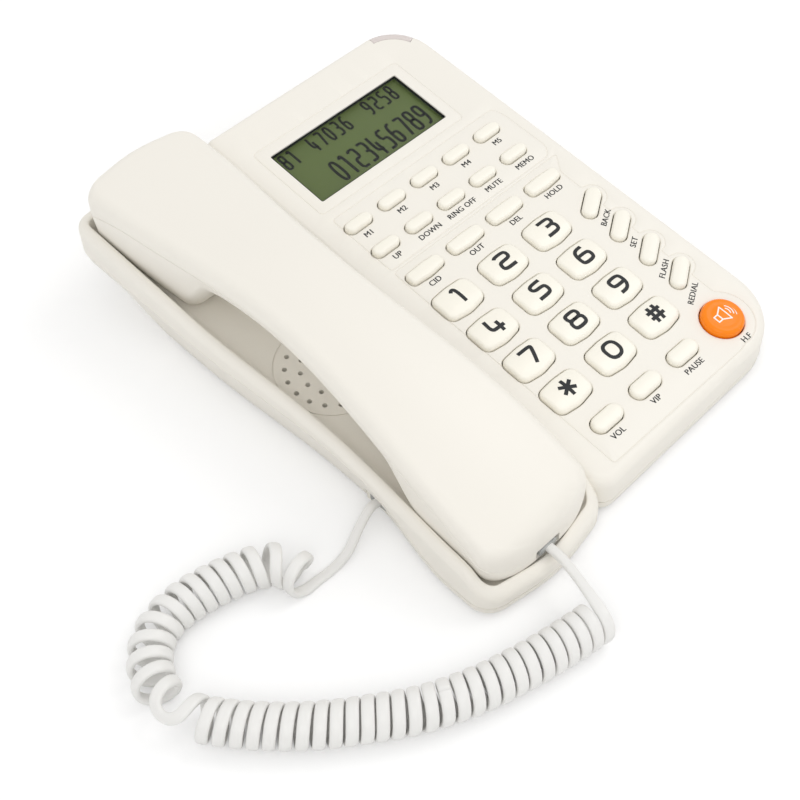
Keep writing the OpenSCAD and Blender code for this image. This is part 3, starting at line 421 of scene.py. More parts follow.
def finish_material(name, base, roughness, ior, tone, tone_mm, grain_mm, grain, spread=0.05, settings=None):
    """Solid finish: the base colour drifts by tone over tone_mm, the roughness by spread, and a bump of
    grain_mm bumps stands for the tool's spark-eroded or polished surface."""
    mat = bpy.data.materials.new(name)
    tree = fresh_tree(mat)
    place = node(tree, "ShaderNodeTexCoord").outputs["Object"]
    drift = node(tree, "ShaderNodeTexNoise", {"Scale": 1000 / tone_mm, "Detail": 3.0}, Vector=place)
    fine = node(tree, "ShaderNodeTexNoise", {"Scale": 1000 / grain_mm, "Detail": 2.0}, Vector=place).outputs["Fac"]
    mix = node(tree, "ShaderNodeMix", {"data_type": "RGBA"})
    for socket, share in ((6, 1 - tone), (7, 1 + tone)):
        mix.inputs[socket].default_value = tuple(min(1.0, c * share) for c in colour(base)[:3]) + (1.0,)
    tree.links.new(drift.outputs["Fac"], mix.inputs[0])
    span = node(tree, "ShaderNodeMapRange", {"From Min": 0.3, "From Max": 0.7, "To Min": roughness - spread,
                                             "To Max": roughness + spread}, Value=fine)
    lump = node(tree, "ShaderNodeBump", {"Strength": grain, "Distance": grain_mm * MM * 0.3}, Height=fine)
    shader = node(tree, "ShaderNodeBsdfPrincipled", {"IOR": ior, **(settings or {})}, Base_Color=mix.outputs[2],
                  Roughness=span.outputs[0], Normal=lump.outputs[0])
    node(tree, "ShaderNodeOutputMaterial", Surface=shader.outputs[0])
    return mat


# Every finish: its name, its colour or the property that holds it, roughness, refraction, drift of tone and
# its size in mm, grain size in mm and grain strength, then the spread of roughness and other settings
FINISHES = {
    # Injection-moulded ABS from a finely spark-eroded tool: soft, even sheen with a trace of grain
    "shell": ("moulded_abs_shell", "shell_hex", 0.42, 1.53, 0.012, 60, 0.5, 0.10),
    # The same from a smoother tool: a little more gloss
    "key": ("moulded_abs_key", "key_hex", 0.34, 1.53, 0.010, 12, 0.4, 0.05),
    # Dyed ABS from a polished tool: full colour with small, soft highlights
    "orange": ("moulded_abs_orange", "orange_hex", 0.24, 1.53, 0.02, 8, 0.5, 0.02, 0.03, {"Specular IOR Level": 0.25}),
    # Pad-printed ink: flat, slightly uneven
    "ink": ("pad_printed_ink", "#1B1E20", 0.6, 1.5, 0.08, 1.5, 0.2, 0.08),
    "white_ink": ("pad_printed_white_ink", "#F6F4EE", 0.5, 1.5, 0.02, 1.5, 0.2, 0.06),
    # Twisted-nematic display behind its polariser: dull olive with blackish segments and a dark frame
    "lcd": ("display_ground", "#5F6F3C", 0.5, 1.5, 0.10, 14, 0.3, 0.0),
    "segment": ("display_segment", "#07090A", 0.6, 1.5, 0.05, 6, 0.3, 0.0),
    "lcd_edge": ("display_bezel", "#1C2020", 0.5, 1.5, 0.05, 6, 0.3, 0.02),
    # Cast acrylic: nearly unseen but for its gloss; the lamp's is milky
    "window": ("acrylic_window", "#262A20", 0.06, 1.49, 0.0, 20, 0.5, 0.0, 0.01, {"Alpha": 0.05}),
    "lens": ("acrylic_lamp_lens", "#E6DCD8", 0.12, 1.49, 0.02, 8, 1.2, 0.05, 0.02, {"Alpha": 0.78}),
    # Plasticised PVC cord: cool white, waxy
    "cord": ("soft_pvc_cord", "cord_hex", 0.38, 1.53, 0.02, 25, 0.8, 0.06),
    # Clear moulded polycarbonate: greyish, with sharp highlights
    "plug": ("clear_polycarbonate_plug", "#C6C9C8", 0.10, 1.58, 0.02, 4, 0.6, 0.02, 0.02, {"Alpha": 0.5}),
    # Moulded nylon, ivory and black: dull and a little uneven
    "nylon": ("moulded_nylon_ivory", "#E4E0D4", 0.45, 1.53, 0.03, 6, 0.4, 0.12),
    "dark": ("moulded_nylon_black", "#26292B", 0.5, 1.53, 0.06, 6, 0.4, 0.15),
    # Gold-plated bronze: warm and bright
    "contact": ("gold_plated_contact", "#D9B25A", 0.25, 1.5, 0.05, 1, 0.2, 0.02, 0.05, {"Metallic": 1.0}),
    # Moulded rubber and silicone: matt, without highlights
    "rubber": ("rubber_foot", "#4B4E50", 0.8, 1.52, 0.08, 3, 0.3, 0.35),
    "silicone": ("silicone_mat", "#CFCBBF", 0.6, 1.41, 0.05, 10, 0.5, 0.1),
    # Solder mask over copper tracks: glossy green, mottled
    "board": ("solder_mask_green", "#2F6B41", 0.35, 1.5, 0.18, 2.2, 0.4, 0.12),
    # Zinc-plated steel and drawn aluminium: grey metal with a broad, soft shine
    "steel": ("zinc_plated_steel", "#B9BCBE", 0.32, 1.5, 0.06, 3, 0.25, 0.1, 0.05, {"Metallic": 1.0}),
    "aluminium": ("drawn_aluminium", "#C4C6C8", 0.35, 1.5, 0.04, 3, 0.2, 0.1, 0.05, {"Metallic": 1.0}),
}
MATERIALS = {}


# ---- Key layout, in the panel's frame ----
KEYS_U, KEYS_V = RIGHT_X - 60.5, 36.7
NUMBER_W, NUMBER_H, NUMBER_DU, NUMBER_DV = 16.9, 12.8, 23, 16.8
LIST_V = KEYS_V + 3 * NUMBER_DV + 16.5
MEMORY_U, MEMORY_V, MEMORY_DU = KEYS_U - 25.7, LIST_V + 16.5, 16.55
SLANT_U, SLANT_V, SLANT_DV, SLANT = RIGHT_X - 15.5, 43.2, 14, math.radians(32)
SLANT_W, SLANT_H = 14, 5.9
SPEAKER_U, SPEAKER_V, SPEAKER_D = RIGHT_X - 19.9, 20.4, 15.6


def key_rows():
    """Each key as name, kind, u, v, width, depth and angle, from rows of keys at an even pitch."""
    lines = [(names, "number", KEYS_U - NUMBER_DU, KEYS_V + (3 - i) * NUMBER_DV, NUMBER_DU, 0, NUMBER_W, NUMBER_H, 0)
             for i, names in enumerate(("1 2 3", "4 5 6", "7 8 9", "star 0 hash"))]
    lines += [("volume vip pause", "pill", KEYS_U - 20.7, 20.6, 19.8, 0, 13.2, 6.4, 0),
              ("cid out delete hold", "list", KEYS_U - 22.6, LIST_V, 20.35, 0, 15.6, 5.9, 0),
              ("up down ring_off mute memo", "pill", MEMORY_U, MEMORY_V, MEMORY_DU, 0, 11.6, 4.8, 0),
              ("m1 m2 m3 m4 m5", "pill", MEMORY_U, MEMORY_V + 13.8, MEMORY_DU, 0, 11.6, 4.8, 0),
              ("redial flash set back", "pill", SLANT_U, SLANT_V, 0, SLANT_DV, SLANT_W, SLANT_H, SLANT),
              ("speaker", "round", SPEAKER_U, SPEAKER_V, 0, 0, SPEAKER_D, SPEAKER_D, 0)]
    return [(name, kind, u + i * du, v + i * dv, w, h, angle)
            for names, kind, u, v, du, dv, w, h, angle in lines for i, name in enumerate(names.split())]


def key_outline(kind, w, h):
    """A key's outline about its own centre."""
    a, b = w / 2, h / 2
    if kind == "round":
        return circle(w, 72)
    if kind == "pill":
        return rectangle(0, 0, w, h, b - 0.001, 10, 2.0)
    r, bow = (3.0, 1.1) if kind == "number" else (1.8, 0.6)
    return outline([[-a, -b + bow], [0, -b - bow * 0.15], [a, -b + bow], [a, b - bow * 0.5],
                    [0, b + bow * 0.1], [-a, b - bow * 0.5]], [r, 14, r, r, 20, r], 8, 2.0)


def turned(rows, angle, u, v):
    """Outline rows turned by angle and moved to (u, v)."""
    c, s = math.cos(angle), math.sin(angle)
    m = np.array([[c, s], [-s, c]])
    return np.hstack([rows[:, :2] @ m + [u, v], rows[:, 2:] @ m])


def crown(kind, h, u, v):
    """Height of a key's top over the panel: part of a cylinder along u, or of a sphere on the round key."""
    if kind == "round":
        r = 34
        return KEY_RISE + 1.2 - r + np.sqrt(r * r - u * u - v * v)
    r = h * 1.6
    return KEY_RISE - r + np.sqrt(r * r - v * v)


# ---- Panel features ----
LCD_U, LCD_V, LCD_W, LCD_H = RIGHT_X - 57.1, 163.5, 63.4, 27.8
FIELD_LEFT = BODY_LEFT + 11


def field_loops():
    """The three raised fields: round the display, the memory keys, and the number keys with a lobe
    round each slanted key. The lobed edge is the furthest right of a broken line and the lobes' circles."""
    right, low, high = RIGHT_X, 8, MEMORY_V - 10.4
    memory = [[FIELD_LEFT, MEMORY_V - 8.7], [right - 10.6, MEMORY_V - 8.7], [right - 7.8, MEMORY_V - 5],
              [right - 8.4, MEMORY_V + 16], [right - 10, MEMORY_V + 20.7], [FIELD_LEFT, MEMORY_V + 20.7]]
    v = np.linspace(low, high, 600)
    u = np.interp(v, [low, SPEAKER_V + 8, MEMORY_V - 17, high], [right - 24, right - 13, right - 13, right - 8])
    reach = (SLANT_W - SLANT_H) / 2
    lobes = [(SLANT_U + reach * math.cos(SLANT), SLANT_V + i * SLANT_DV + reach * math.sin(SLANT), SLANT_H / 2 + 1.9)
             for i in range(4)] + [(SPEAKER_U, SPEAKER_V, SPEAKER_D / 2 + 3.8)]
    for cu, cv, r in lobes:
        edge = cu + np.sqrt(np.maximum(0, r * r - (v - cv) ** 2))
        u = np.where(np.abs(v - cv) < r, np.maximum(u, edge), u)
    number = np.vstack([np.column_stack([u, v]), [[FIELD_LEFT, high], [FIELD_LEFT, low]]])
    display = rectangle(LCD_U, LCD_V, LCD_W + 8.8, LCD_H + 8.8, 1.5)[:, :2]
    return [soft_loop(np.array(memory), 0.9), soft_loop(number, 0.7), soft_loop(display, 0.4)]


def body_in(d):
    """The keypad side's outline moved in by d."""
    return grown(BODY, -d)


def edge_round(top):
    """Rows of the quarter round between an upright side and the surface top, as insets and heights by y."""
    return [(EDGE_R * (1 - math.cos(a)), lambda y, a=a: top(y) - EDGE_R * (1 - math.sin(a)))
            for a in np.radians(np.arange(0, 91, 10))]


def side_wall(top, shares):
    """Rows of a shell's outer side: its foot at the parting line, the upright wall at shares of its height
    and the edge round."""
    foot = 0.3
    rows = [(foot, seam_z), (0.0, lambda y: seam_z(y) + foot)]
    rows += [(0.0, lambda y, t=t: seam_z(y) + foot + t * (top(y) - EDGE_R - foot - seam_z(y))) for t in shares]
    return rows + edge_round(top)


def raised(inset, rows):
    """Loops of an outline that is moved in and lifted row by row."""
    return [np.column_stack([p, z(p[:, 1])]) for p, z in ((inset(d), z) for d, z in rows)]


def keypad_shell():
    """Keypad side of the upper shell: walls and edge rounding carried along the outline, a flat panel
    triangulated between the rings of its openings, quarter-round lips and a wall's thickness."""
    mesh = Mesh()
    land, fillet = 0.15, 1.2
    rows = raised(body_in, side_wall(panel_z, (0.35, 0.7)) + [(EDGE_R + 0.5, panel_z)])
    inner = raised(body_in, [(WALL + fillet, lambda y: panel_z(y) - WALL / COS),
                             (WALL, lambda y: panel_z(y) - (WALL + fillet) / COS), (WALL, seam_z)])
    mesh.strip(inner + rows)
    flat, below = [to_panel(rows[-1][:, :2], 0)], [to_panel(inner[0][:, :2], -WALL)]
    openings = [(turned(key_outline(kind, w, h), angle, u, v), KEY_GAP, KEY_LIP)
                for name, kind, u, v, w, h, angle in key_rows()]
    openings.append((rectangle(LCD_U, LCD_V, LCD_W, LCD_H, 0.6), 0.0, 0.35))
    for o, gap, lip in openings:
        steps = [(gap + lip + land, 0.0)]
        steps += [(gap + lip * (1 - math.sin(a)), -lip * (1 - math.cos(a))) for a in np.radians([0, 22, 45, 68, 90])]
        steps.append((gap, -WALL))
        mesh.strip([from_panel(*grown(o, d).T, w) for d, w in steps])
        flat.append(grown(o, gap + lip + land))
        below.append(grown(o, gap))
    mesh.fill(flat, lambda p: from_panel(p[:, 0], p[:, 1], 0.0))
    mesh.fill(below, lambda p: from_panel(p[:, 0], p[:, 1], -WALL), flip=True)
    return mesh


def field_grooves():
    """Cutters of the fine grooves round the three fields."""
    section = [(-0.17, 0.4), (-0.17, 0), (-0.02, -0.05), (0.15, -0.26), (0.3, -0.26), (0.47, -0.05), (0.62, 0),
               (0.62, 0.4), (-0.17, 0.4)]
    out = []
    for o in field_loops():
        out.append(Mesh())
        out[-1].strip([from_panel(*grown(o, d).T, w) for d, w in section])
    return out


LENS_U, LENS_V, LENS_H = RIGHT_X - 3.2, (BODY_BACK - PANEL_Y0) / COS, 8.0
LENS_CORNER, LENS_INNER, LENS_OUTER = 18, 13.8, 30


def lens_prism(gap):
    """Band along the rounded corner that the lamp's lens fills, grown by gap."""
    centre, inner = np.array([LENS_U, LENS_V]) - LENS_CORNER, LENS_INNER - gap
    a = np.radians(np.linspace(22, 84, 24)) + np.linspace(-1, 1, 24) * gap / inner
    arc = np.stack([np.cos(a), np.sin(a)], axis=-1)
    loop = centre + np.vstack([arc * LENS_OUTER, arc[::-1] * inner])
    return prism(loop, -LENS_H - gap, 4.0, lambda p, w: from_panel(p[:, 0], p[:, 1], w))


def lamp_lens():
    """Lens: the shell's own corner as a solid, as thick as the wall, kept inside the corner's band."""
    outer = raised(body_in, [(0.0, lambda y: panel_z(y) - 20), *edge_round(panel_z)])
    hollow = raised(body_in, [(WALL, lambda y: panel_z(y) - 22), (WALL, lambda y: panel_z(y) - WALL)])
    return cut(cut(Mesh().loft(outer), [Mesh().loft(hollow)]), [lens_prism(0.0)], "INTERSECT")


def cradle_shell():
    """Cradle side of the upper shell: outline carried through the outer wall, the rim's two rounds, the
    well's elliptical wall and a flat floor, with a sloping underside."""
    rows = side_wall(rim_z, (0.4, 0.8))
    rows += [(RIM_W - RIM_R * (1 - math.sin(a)), lambda y, a=a: rim_z(y) - RIM_R * (1 - math.cos(a)))
             for a in np.radians([15, 30, 45, 60, 75, 90])]
    rows += [(RIM_W + WELL_ROUND * (1 - math.cos(a)),
              lambda y, a=a: rim_z(y) - RIM_R - (rim_z(y) - RIM_R - floor_z(y)) * math.sin(a))
             for a in np.radians(np.arange(8, 91, 8.2))]
    rows += [(RIM_W + WELL_ROUND, floor_z), (RIM_W + WELL_ROUND + 0.5, floor_z)]
    loops = raised(lambda d: drawn_in(CRADLE, d), rows)
    under = loops[-1] - [0, 0, WALL]
    edge = raised(lambda d: grown(CRADLE, -d), [(2.2, lambda y: np.minimum(seam_z(y), rim_z(y) - 4))])
    mesh = Mesh()
    mesh.strip([under, *edge, *loops])
    mesh.fill([loops[-1][:, :2]], lambda p: level(p, floor_z(p[:, 1])))
    mesh.fill([under[:, :2]], lambda p: level(p, floor_z(p[:, 1]) - WALL), flip=True)
    return mesh


SPEAKER_Y, HOOK_Y = FRONT_Y + 103.8, BACK_Y - 44
HOOK_RISE = 4.0
GRILLE_PITCH, GRILLE_HOLE = 5.2, 1.8


def on_floor(p, w):
    """Points about the loudspeaker's centre, w over the sloping floor."""
    return with_rim(level(p, w), (CRADLE_X, SPEAKER_Y, floor_z(SPEAKER_Y)))


def cradle_cutters():
    """Grille holes, the ring groove round them and the plunger's slot."""
    holes, ring = Mesh(), Mesh()
    spots = [(0.0, 0.0)]
    for r in (1, 2, 3):
        a = 2 * np.pi * np.arange(6 * r) / (6 * r)
        spots += list(zip(r * GRILLE_PITCH * np.cos(a), r * GRILLE_PITCH * np.sin(a)))
    for spot in spots:
        holes.join(prism(circle(GRILLE_HOLE, 20, spot)[:, :2], -WALL - 1, 0.6, on_floor))
    section = ((38.8, -0.35), (39.6, -0.35), (39.6, 1.0), (38.8, 1.0), (38.8, -0.35))
    ring.strip([on_floor(circle(d, 128)[:, :2], w) for d, w in section])
    return [holes, ring, rounded_box((9.6, 5.6, 10.8), 0.5, centre=(CRADLE_X, HOOK_Y, floor_z(HOOK_Y)))]


HEEL_Y = BACK_Y - 42
FOOT_H, LOWER_WALL = 2.0, 2.0
# Screw posts: x, y and the height that each ends at; feet: x and y
POSTS = ((BODY_LEFT + 6.4, FRONT_Y + 43, 10), (BODY_LEFT + 6.4, BACK_Y - 48, 14), (RIGHT_X - 7.5, FRONT_Y + 34, 10),
         (RIGHT_X - 10, BACK_Y - 48, 14), (CRADLE_X + 15, BACK_Y - 50, 12), (CRADLE_X, FRONT_Y + 42, 7.4))
FEET = ((LEFT_X + 20, FRONT_Y + 18), (RIGHT_X - 18, FRONT_Y + 22), (LEFT_X + 20, HEEL_Y - 12),
        (RIGHT_X - 20, HEEL_Y - 12))


def lower_block(rows, joined, inset):
    """Solid under one side, moved in and up by inset: its foot drawn in from the parting line by the draft,
    less where it joins the other side, and its top following the parting line."""
    y, outside, low = rows[:, 1], inset == 0, FOOT_H + inset
    draft = (0.33 * (seam_z(y) - FRONT_SEAM) + 0.3) / (seam_z(y) - FOOT_H)
    d = draft * (1 - smooth(joined * rows[:, 2] / 0.7)) * (seam_z(y) - low)
    most = np.minimum(radii(rows), np.roll(radii(rows), 1)) - 0.3
    loops = []
    for t in (0.0, 0.06, 0.35, 0.7, 0.99, 1.0):
        round_in = {0.0: 0.5, 1.0: 0.3}.get(t, 0.0) if outside else 0.0
        p = rows[:, :2] - rows[:, 2:] * np.minimum(inset + d * (1 - t) + round_in, most)[:, None]
        sunk = (0.06 if outside else -0.5) * (t == 1)
        loops.append(level(p, low + t * (seam_z(y) - low) - sunk))
    mesh = Mesh()
    mesh.strip(loops)
    mesh.polygon(loops[0], flip=True)
    x, y, z = loops[-1][np.argsort(loops[-1][:, 1])].T
    mesh.fill([loops[-1][:, :2]], lambda p: level(p, np.interp(p[:, 1], y, z)))
    return mesh


def heel_block(offset):
    """Space behind the heel, whose underside steps back and up; offset thickens the wall beside it."""
    line = [(HEEL_Y - offset, -10)]
    for a, b in ((0, 0), (6, 6), (13, 17), (17, 18.6)):
        line.append((HEEL_Y + a - offset, FOOT_H + b + (offset if b else 0)))
    line += [(BACK_Y + 20, 22 + offset), (BACK_Y + 20, -10)]
    return prism(np.array(line), -100, 100, lambda p, x: np.column_stack([np.full(len(p), -x), p]))


def upright(x, y, d, low, high, n=36):
    """Upright round cutter."""
    return prism(circle(d, n, (x, y))[:, :2], low, high)


def lower_shell():
    """Lower shell: both sides' solids joined, hollowed to an even wall and opened for the feet, screws,
    battery door and the cord's socket."""
    outer, inner = (cut(lower_block(CRADLE, 1, d), [lower_block(BODY, -1, d)], "UNION") for d in (0, LOWER_WALL))
    inner = cut(inner, [heel_block(LOWER_WALL), *(upright(x, y, 6.4, 3, top) for x, y, top in POSTS)])
    door = rounded_box((62.5, 32.5, 1.4), 0.4, centre=(26.0, 10.0, 2.5))
    socket = rounded_box((24.0, 11.4, 6.4), 0.3, centre=(JACK_MOUTH, JACK_Y, JACK_Z))
    feet = [upright(x, y, 10.2, -1, 2.6) for x, y in FEET]
    screws = [upright(x, y, 5.8, -1, top - 2.6) for x, y, top in POSTS]
    return cut(outer, [inner, heel_block(0.0), door, socket, *feet, *screws])


# ---- Key caps ----
def place_on_panel(mesh, u, v, angle=0.0):
    """Moves a mesh made in a key's own frame to its place on the panel."""
    c, s = math.cos(angle), math.sin(angle)
    return mesh.moved(lambda p: from_panel(u + p[:, 0] * c - p[:, 1] * s, v + p[:, 0] * s + p[:, 1] * c, p[:, 2]))


def key_cap(kind, u, v, w, h, angle):
    """Key cap: outline carried up the side, through a round of the top edge and in towards the centre
    over the crown."""
    o = key_outline(kind, w, h)
    r = {"number": 1.15, "list": 0.95, "pill": 1.0, "round": 1.3}[kind]
    loops = [level(o[:, :2], low) for low in (-WALL, -0.6)]
    for a in np.radians(np.arange(0, 91, 11.25)):
        edge = grown(o, -r * (1 - math.cos(a)))
        loops.append(level(edge, crown(kind, h, *edge.T) - r * (1 - math.sin(a))))
    for t in np.linspace(0, 1, 9)[1:-1]:
        p = edge * (1 - t)
        dish = 0.35 * smooth((t - 0.1) / 0.12) if kind == "round" else 0.0
        loops.append(level(p, crown(kind, h, *p.T) - dish))
    return place_on_panel(Mesh().loft(loops), u, v, angle)


# ---- Printed strokes ----
# Digits as pen strokes in hundredths of a box, from its lower left corner: x, y, x, y and on
STROKES = {
    "1": [[12, 86, 30, 98, 50, 98, 62, 84, 62, 2]],
    "2": [[6, 86, 16, 96, 80, 96, 92, 84, 92, 62, 80, 50, 20, 50, 8, 38, 8, 4, 96, 4]],
    "3": [[6, 96, 80, 96, 93, 84, 93, 64, 78, 53, 36, 53], [78, 53, 93, 40, 93, 16, 80, 4, 4, 4]],
    "4": [[20, 100, 12, 50, 20, 32, 36, 27, 100, 27], [72, 64, 72, -2]],
    "5": [[92, 96, 10, 96, 10, 56, 80, 56, 93, 44, 93, 16, 80, 4, 4, 4]],
    "6": [[82, 97, 36, 97, 10, 72, 8, 20, 22, 4, 80, 4, 93, 16, 93, 42, 80, 55, 12, 55]],
    "7": [[4, 96, 93, 96, 93, 82, 50, 2]],
    "8": [[50, 53, 22, 53, 10, 64, 10, 86, 22, 97, 78, 97, 90, 86, 90, 64, 78, 53, 50, 53],
          [50, 53, 20, 53, 6, 42, 6, 16, 20, 3, 80, 3, 94, 16, 94, 42, 80, 53, 50, 53]],
    "9": [[18, 3, 64, 3, 90, 28, 92, 80, 78, 96, 20, 96, 7, 84, 7, 58, 20, 46, 88, 46]],
    "0": [[50, 3, 24, 7, 8, 26, 6, 50, 8, 74, 24, 93, 50, 97, 76, 93, 92, 74, 94, 50, 92, 26, 76, 7, 50, 3]],
    "star": [[50, 100, 50, 0], [7, 75, 93, 25], [7, 25, 93, 75]],
    "hash": [[34, 100, 28, 0], [72, 100, 66, 0], [2, 68, 98, 68], [2, 32, 98, 32]],
}


def strokes(name, rounds=3):
    """A digit's pen paths in a box 1 wide and 1 high, their corners cut off again and again (Chaikin) with
    the ends kept."""
    paths = []
    for line in STROKES[name]:
        p = np.array(line).reshape(-1, 2) / 100
        for _ in range(rounds if len(p) > 2 else 0):
            q = np.empty((2 * len(p) - 2, 2))
            q[0::2], q[1::2] = 0.75 * p[:-1] + 0.25 * p[1:], 0.25 * p[:-1] + 0.75 * p[1:]
            p = np.vstack([p[:1], q[1:-1], p[-1:]])
        paths.append(p)
    return paths


def ink_stroke(mesh, path, width, height, thick=0.2, proud=0.03):
    """A flat ribbon of ink along a path, with the given width; height(u, v) is the surface it lies on."""
    t = unit(np.gradient(path, axis=0))
    side = np.stack([t[:, 1], -t[:, 0]], axis=-1) * width / 2
    right, left = path + side, path - side
    ring = [level(p, height(*p.T) + w) for p, w in ((right, -thick), (left, -thick), (left, proud), (right, proud))]
    mesh.loft(np.stack(ring, axis=1))


def digit_mesh(name, u, v):
    """Printed digit of a number key, 6.4 mm by 6.9 mm and the narrow 1 a little less."""
    mesh = Mesh()
    size = (4.0, 6.8) if name == "1" else (6.4, 6.9)
    for path in strokes(name):
        path = (path - 0.5) * size + [0.7, 0.5]
        if len(path) == 2:
            path = np.linspace(*path, int(np.ceil(np.linalg.norm(path[1] - path[0]))) * 3)
        ink_stroke(mesh, path, 1.35, lambda a, b: crown("number", NUMBER_H, a, b), proud=0.08)
    return place_on_panel(mesh, u, v)


def speaker_symbol():
    """Outline of a loudspeaker box and horn with three arcs of sound, on the round key."""
    mesh, shift = Mesh(), (0.6, 0.3)
    height = lambda a, b: crown("round", SPEAKER_D, a + shift[0], b + shift[1]) - 0.33
    box = [(-4.1, -1.25), (-4.1, 1.25), (-2.3, 1.25), (-2.3, -1.25), (-4.1, -1.25)]
    horn = [(-2.3, -1.25), (0.7, -3.0), (0.7, 3.0), (-2.3, 1.25)]
    for line in (np.array(box), np.array(horn)):
        for a, b in zip(line[:-1], line[1:]):
            over = (b - a) / np.linalg.norm(b - a) * 0.17
            ink_stroke(mesh, np.linspace(a - over, b + over, 5), 0.48, height)
    for r, span in ((2.2, 36), (3.3, 42), (4.4, 44)):
        a = np.radians(np.linspace(-span, span, 18))
        ink_stroke(mesh, np.stack([0.2 + r * np.cos(a), r * np.sin(a)], axis=-1), 0.42, height)
    return place_on_panel(mesh, SPEAKER_U + shift[0], SPEAKER_V + shift[1])


# Plain function words under the keys: word, u, v and angle in degrees
LABELS = [*((f"M{i + 1}", -7.2 + i * MEMORY_DU, 128.3, 0) for i in range(5)), ("UP", -6.4, 114.7, 0),
          ("DOWN", 9.8, 114.6, 0), ("RING OFF", 26.0, 114.5, 0), ("MUTE", 42.6, 114.5, 0), ("MEMO", 59.4, 114.5, 0),
          ("CID", -4.5, 98.0, 0), ("OUT", 16.5, 98.0, 0), ("DEL", 36.8, 98.0, 0), ("HOLD", 57.2, 98.0, 0),
          ("VOL", -3.4, 14.4, 0), ("VIP", 16.3, 14.5, 0), ("PAUSE", 36.4, 14.3, 0), ("H.F", 59.5, 9.7, 0),
          ("BACK", 62.6, 77.3, 29), ("SET", 61.8, 63.1, 29), ("FLASH", 60.8, 48.1, 29), ("REDIAL", 60.2, 34.3, 29)]


def label_mesh(words, size):
    """Flat printed words of the built-in typeface, laid on the panel. Each is set twice, a hair apart, for
    its weight."""
    mesh = Mesh()
    for word, u, v, angle in words:
        text = bpy.data.curves.new("word", "FONT")
        text.body, text.size, text.align_x, text.align_y = word, size, "CENTER", "CENTER"
        text.extrude, text.resolution_u, text.space_character = 0.04, 3, 1.03
        obj = put("word", text)
        flat = settled(obj)
        p = np.zeros(len(flat.vertices) * 3)
        flat.vertices.foreach_get("co", p)
        for shift in (-0.07, 0.07):
            copy = Mesh()
            copy.points, copy.count = [p.reshape(-1, 3) + [shift, 0, 0]], len(flat.vertices)
            copy.faces = [list(f.vertices) for f in flat.polygons]
            mesh.join(place_on_panel(copy, u, v, math.radians(angle)))
        bpy.data.objects.remove(obj)
        bpy.data.curves.remove(text)
        bpy.data.meshes.remove(flat)
    return mesh


# ---- Handset ----
HANDSET_FRONT, HANDSET_BACK = FRONT_Y + 4.7, BACK_Y - 4.7
EAR_Y, MIC_Y, SLOT_Z = BACK_Y - 26, FRONT_Y + 24, 12.9
GRIP_MID, END_L, CROWN_H, TOP_R = 5.0, 9.4, 1.6, 5.2


def ridge_z(y):
    """Height of the handset's back along its middle: level, then falling as a square towards the front."""
    return 53.3 - 29.0 * (np.maximum(0, 35 - y) / 133) ** 2


def parting_z(y):
    """Height of the line between the handset's two shells."""
    return ridge_z(y) - 4.5 - 0.008 * np.maximum(0, y - 70) ** 2 - 0.17 * np.maximum(0, -78 - y)


def from_end(y):
    """Distance from the nearer end of the handset."""
    return np.minimum(y - HANDSET_FRONT, HANDSET_BACK - y)


def end_in(y, r):
    """How far a round of radius r draws a section in at the handset's ends."""
    e = from_end(y)
    return np.where(e >= r, 0.0, r - np.sqrt(np.maximum(0, r * r - (r - e) ** 2)))


def end_share(y):
    """Share of the full width at the bowed ends: (1 - (1 - e)^2.5)^0.4, where e runs from 0 to 1."""
    e = np.clip((from_end(y) + 0.4) / END_L, 0, 1)
    return (1 - (1 - e) ** 2.5) ** 0.4


def half_w(y):
    """Half of the handset's width, which narrows by a cosine hump at the grip."""
    return (24.2 - 5.8 * bump((y - GRIP_MID) / 88)) * end_share(y)


def under_blend(y):
    """0 under the grip and 1 under the ear and mouth ends, eased between."""
    return np.maximum(smooth((y - 37) / 15), smooth((-49 - y) / 19))


def under_z(y):
    """Height of the underside: an arch over the grip and the well's floor at the ends, whose tips rise."""
    t = under_blend(y)
    rise = np.where(y < 0, 3.6, 8.4) * end_in(y, 9) / 9
    return (41 - 0.0035 * (y - 12) ** 2) * (1 - t) + (floor_z(y) + 0.2) * t + rise


def handset_stations():
    """Positions along the handset, close together at its rounded ends and steady between."""
    near = np.concatenate([END_L * (1 - np.cos(np.linspace(0, np.pi / 2, 14))), [0, 0.12, 0.35, 0.7, 1.1]])
    near = np.unique(np.round(near, 4))
    middle = np.linspace(HANDSET_FRONT + 12, HANDSET_BACK - 12, 96)
    return np.concatenate([HANDSET_FRONT + near, middle, (HANDSET_BACK - near)[::-1]])


def both_sides(right):
    """A section from its right side's points, which end on the middle line."""
    return np.vstack([right, right[-2::-1] * [-1, 1]])


def top_section(y):
    """Upper half of a section: a short upright band, a round of the top edge and a gently crowned back."""
    h, zs = half_w(y), parting_z(y)
    rise = ridge_z(y) + 3.0 - zs - end_in(y, 4.5)
    c, ch = min(TOP_R, h - 4), min(TOP_R, rise - CROWN_H - 0.4)
    a = np.radians(np.linspace(0, 90, 13))
    r = np.column_stack([h - c + c * np.cos(a), zs + rise - CROWN_H - ch + ch * np.sin(a)])
    s = np.linspace(1, 0, 9)[1:]
    back = np.column_stack([(h - c) * s, zs + rise - CROWN_H * s * s])
    return both_sides(np.vstack([[[h - 0.3, zs + 0.05], [h - 0.05, zs + 0.2], [h, zs + 0.38]], r, back]))


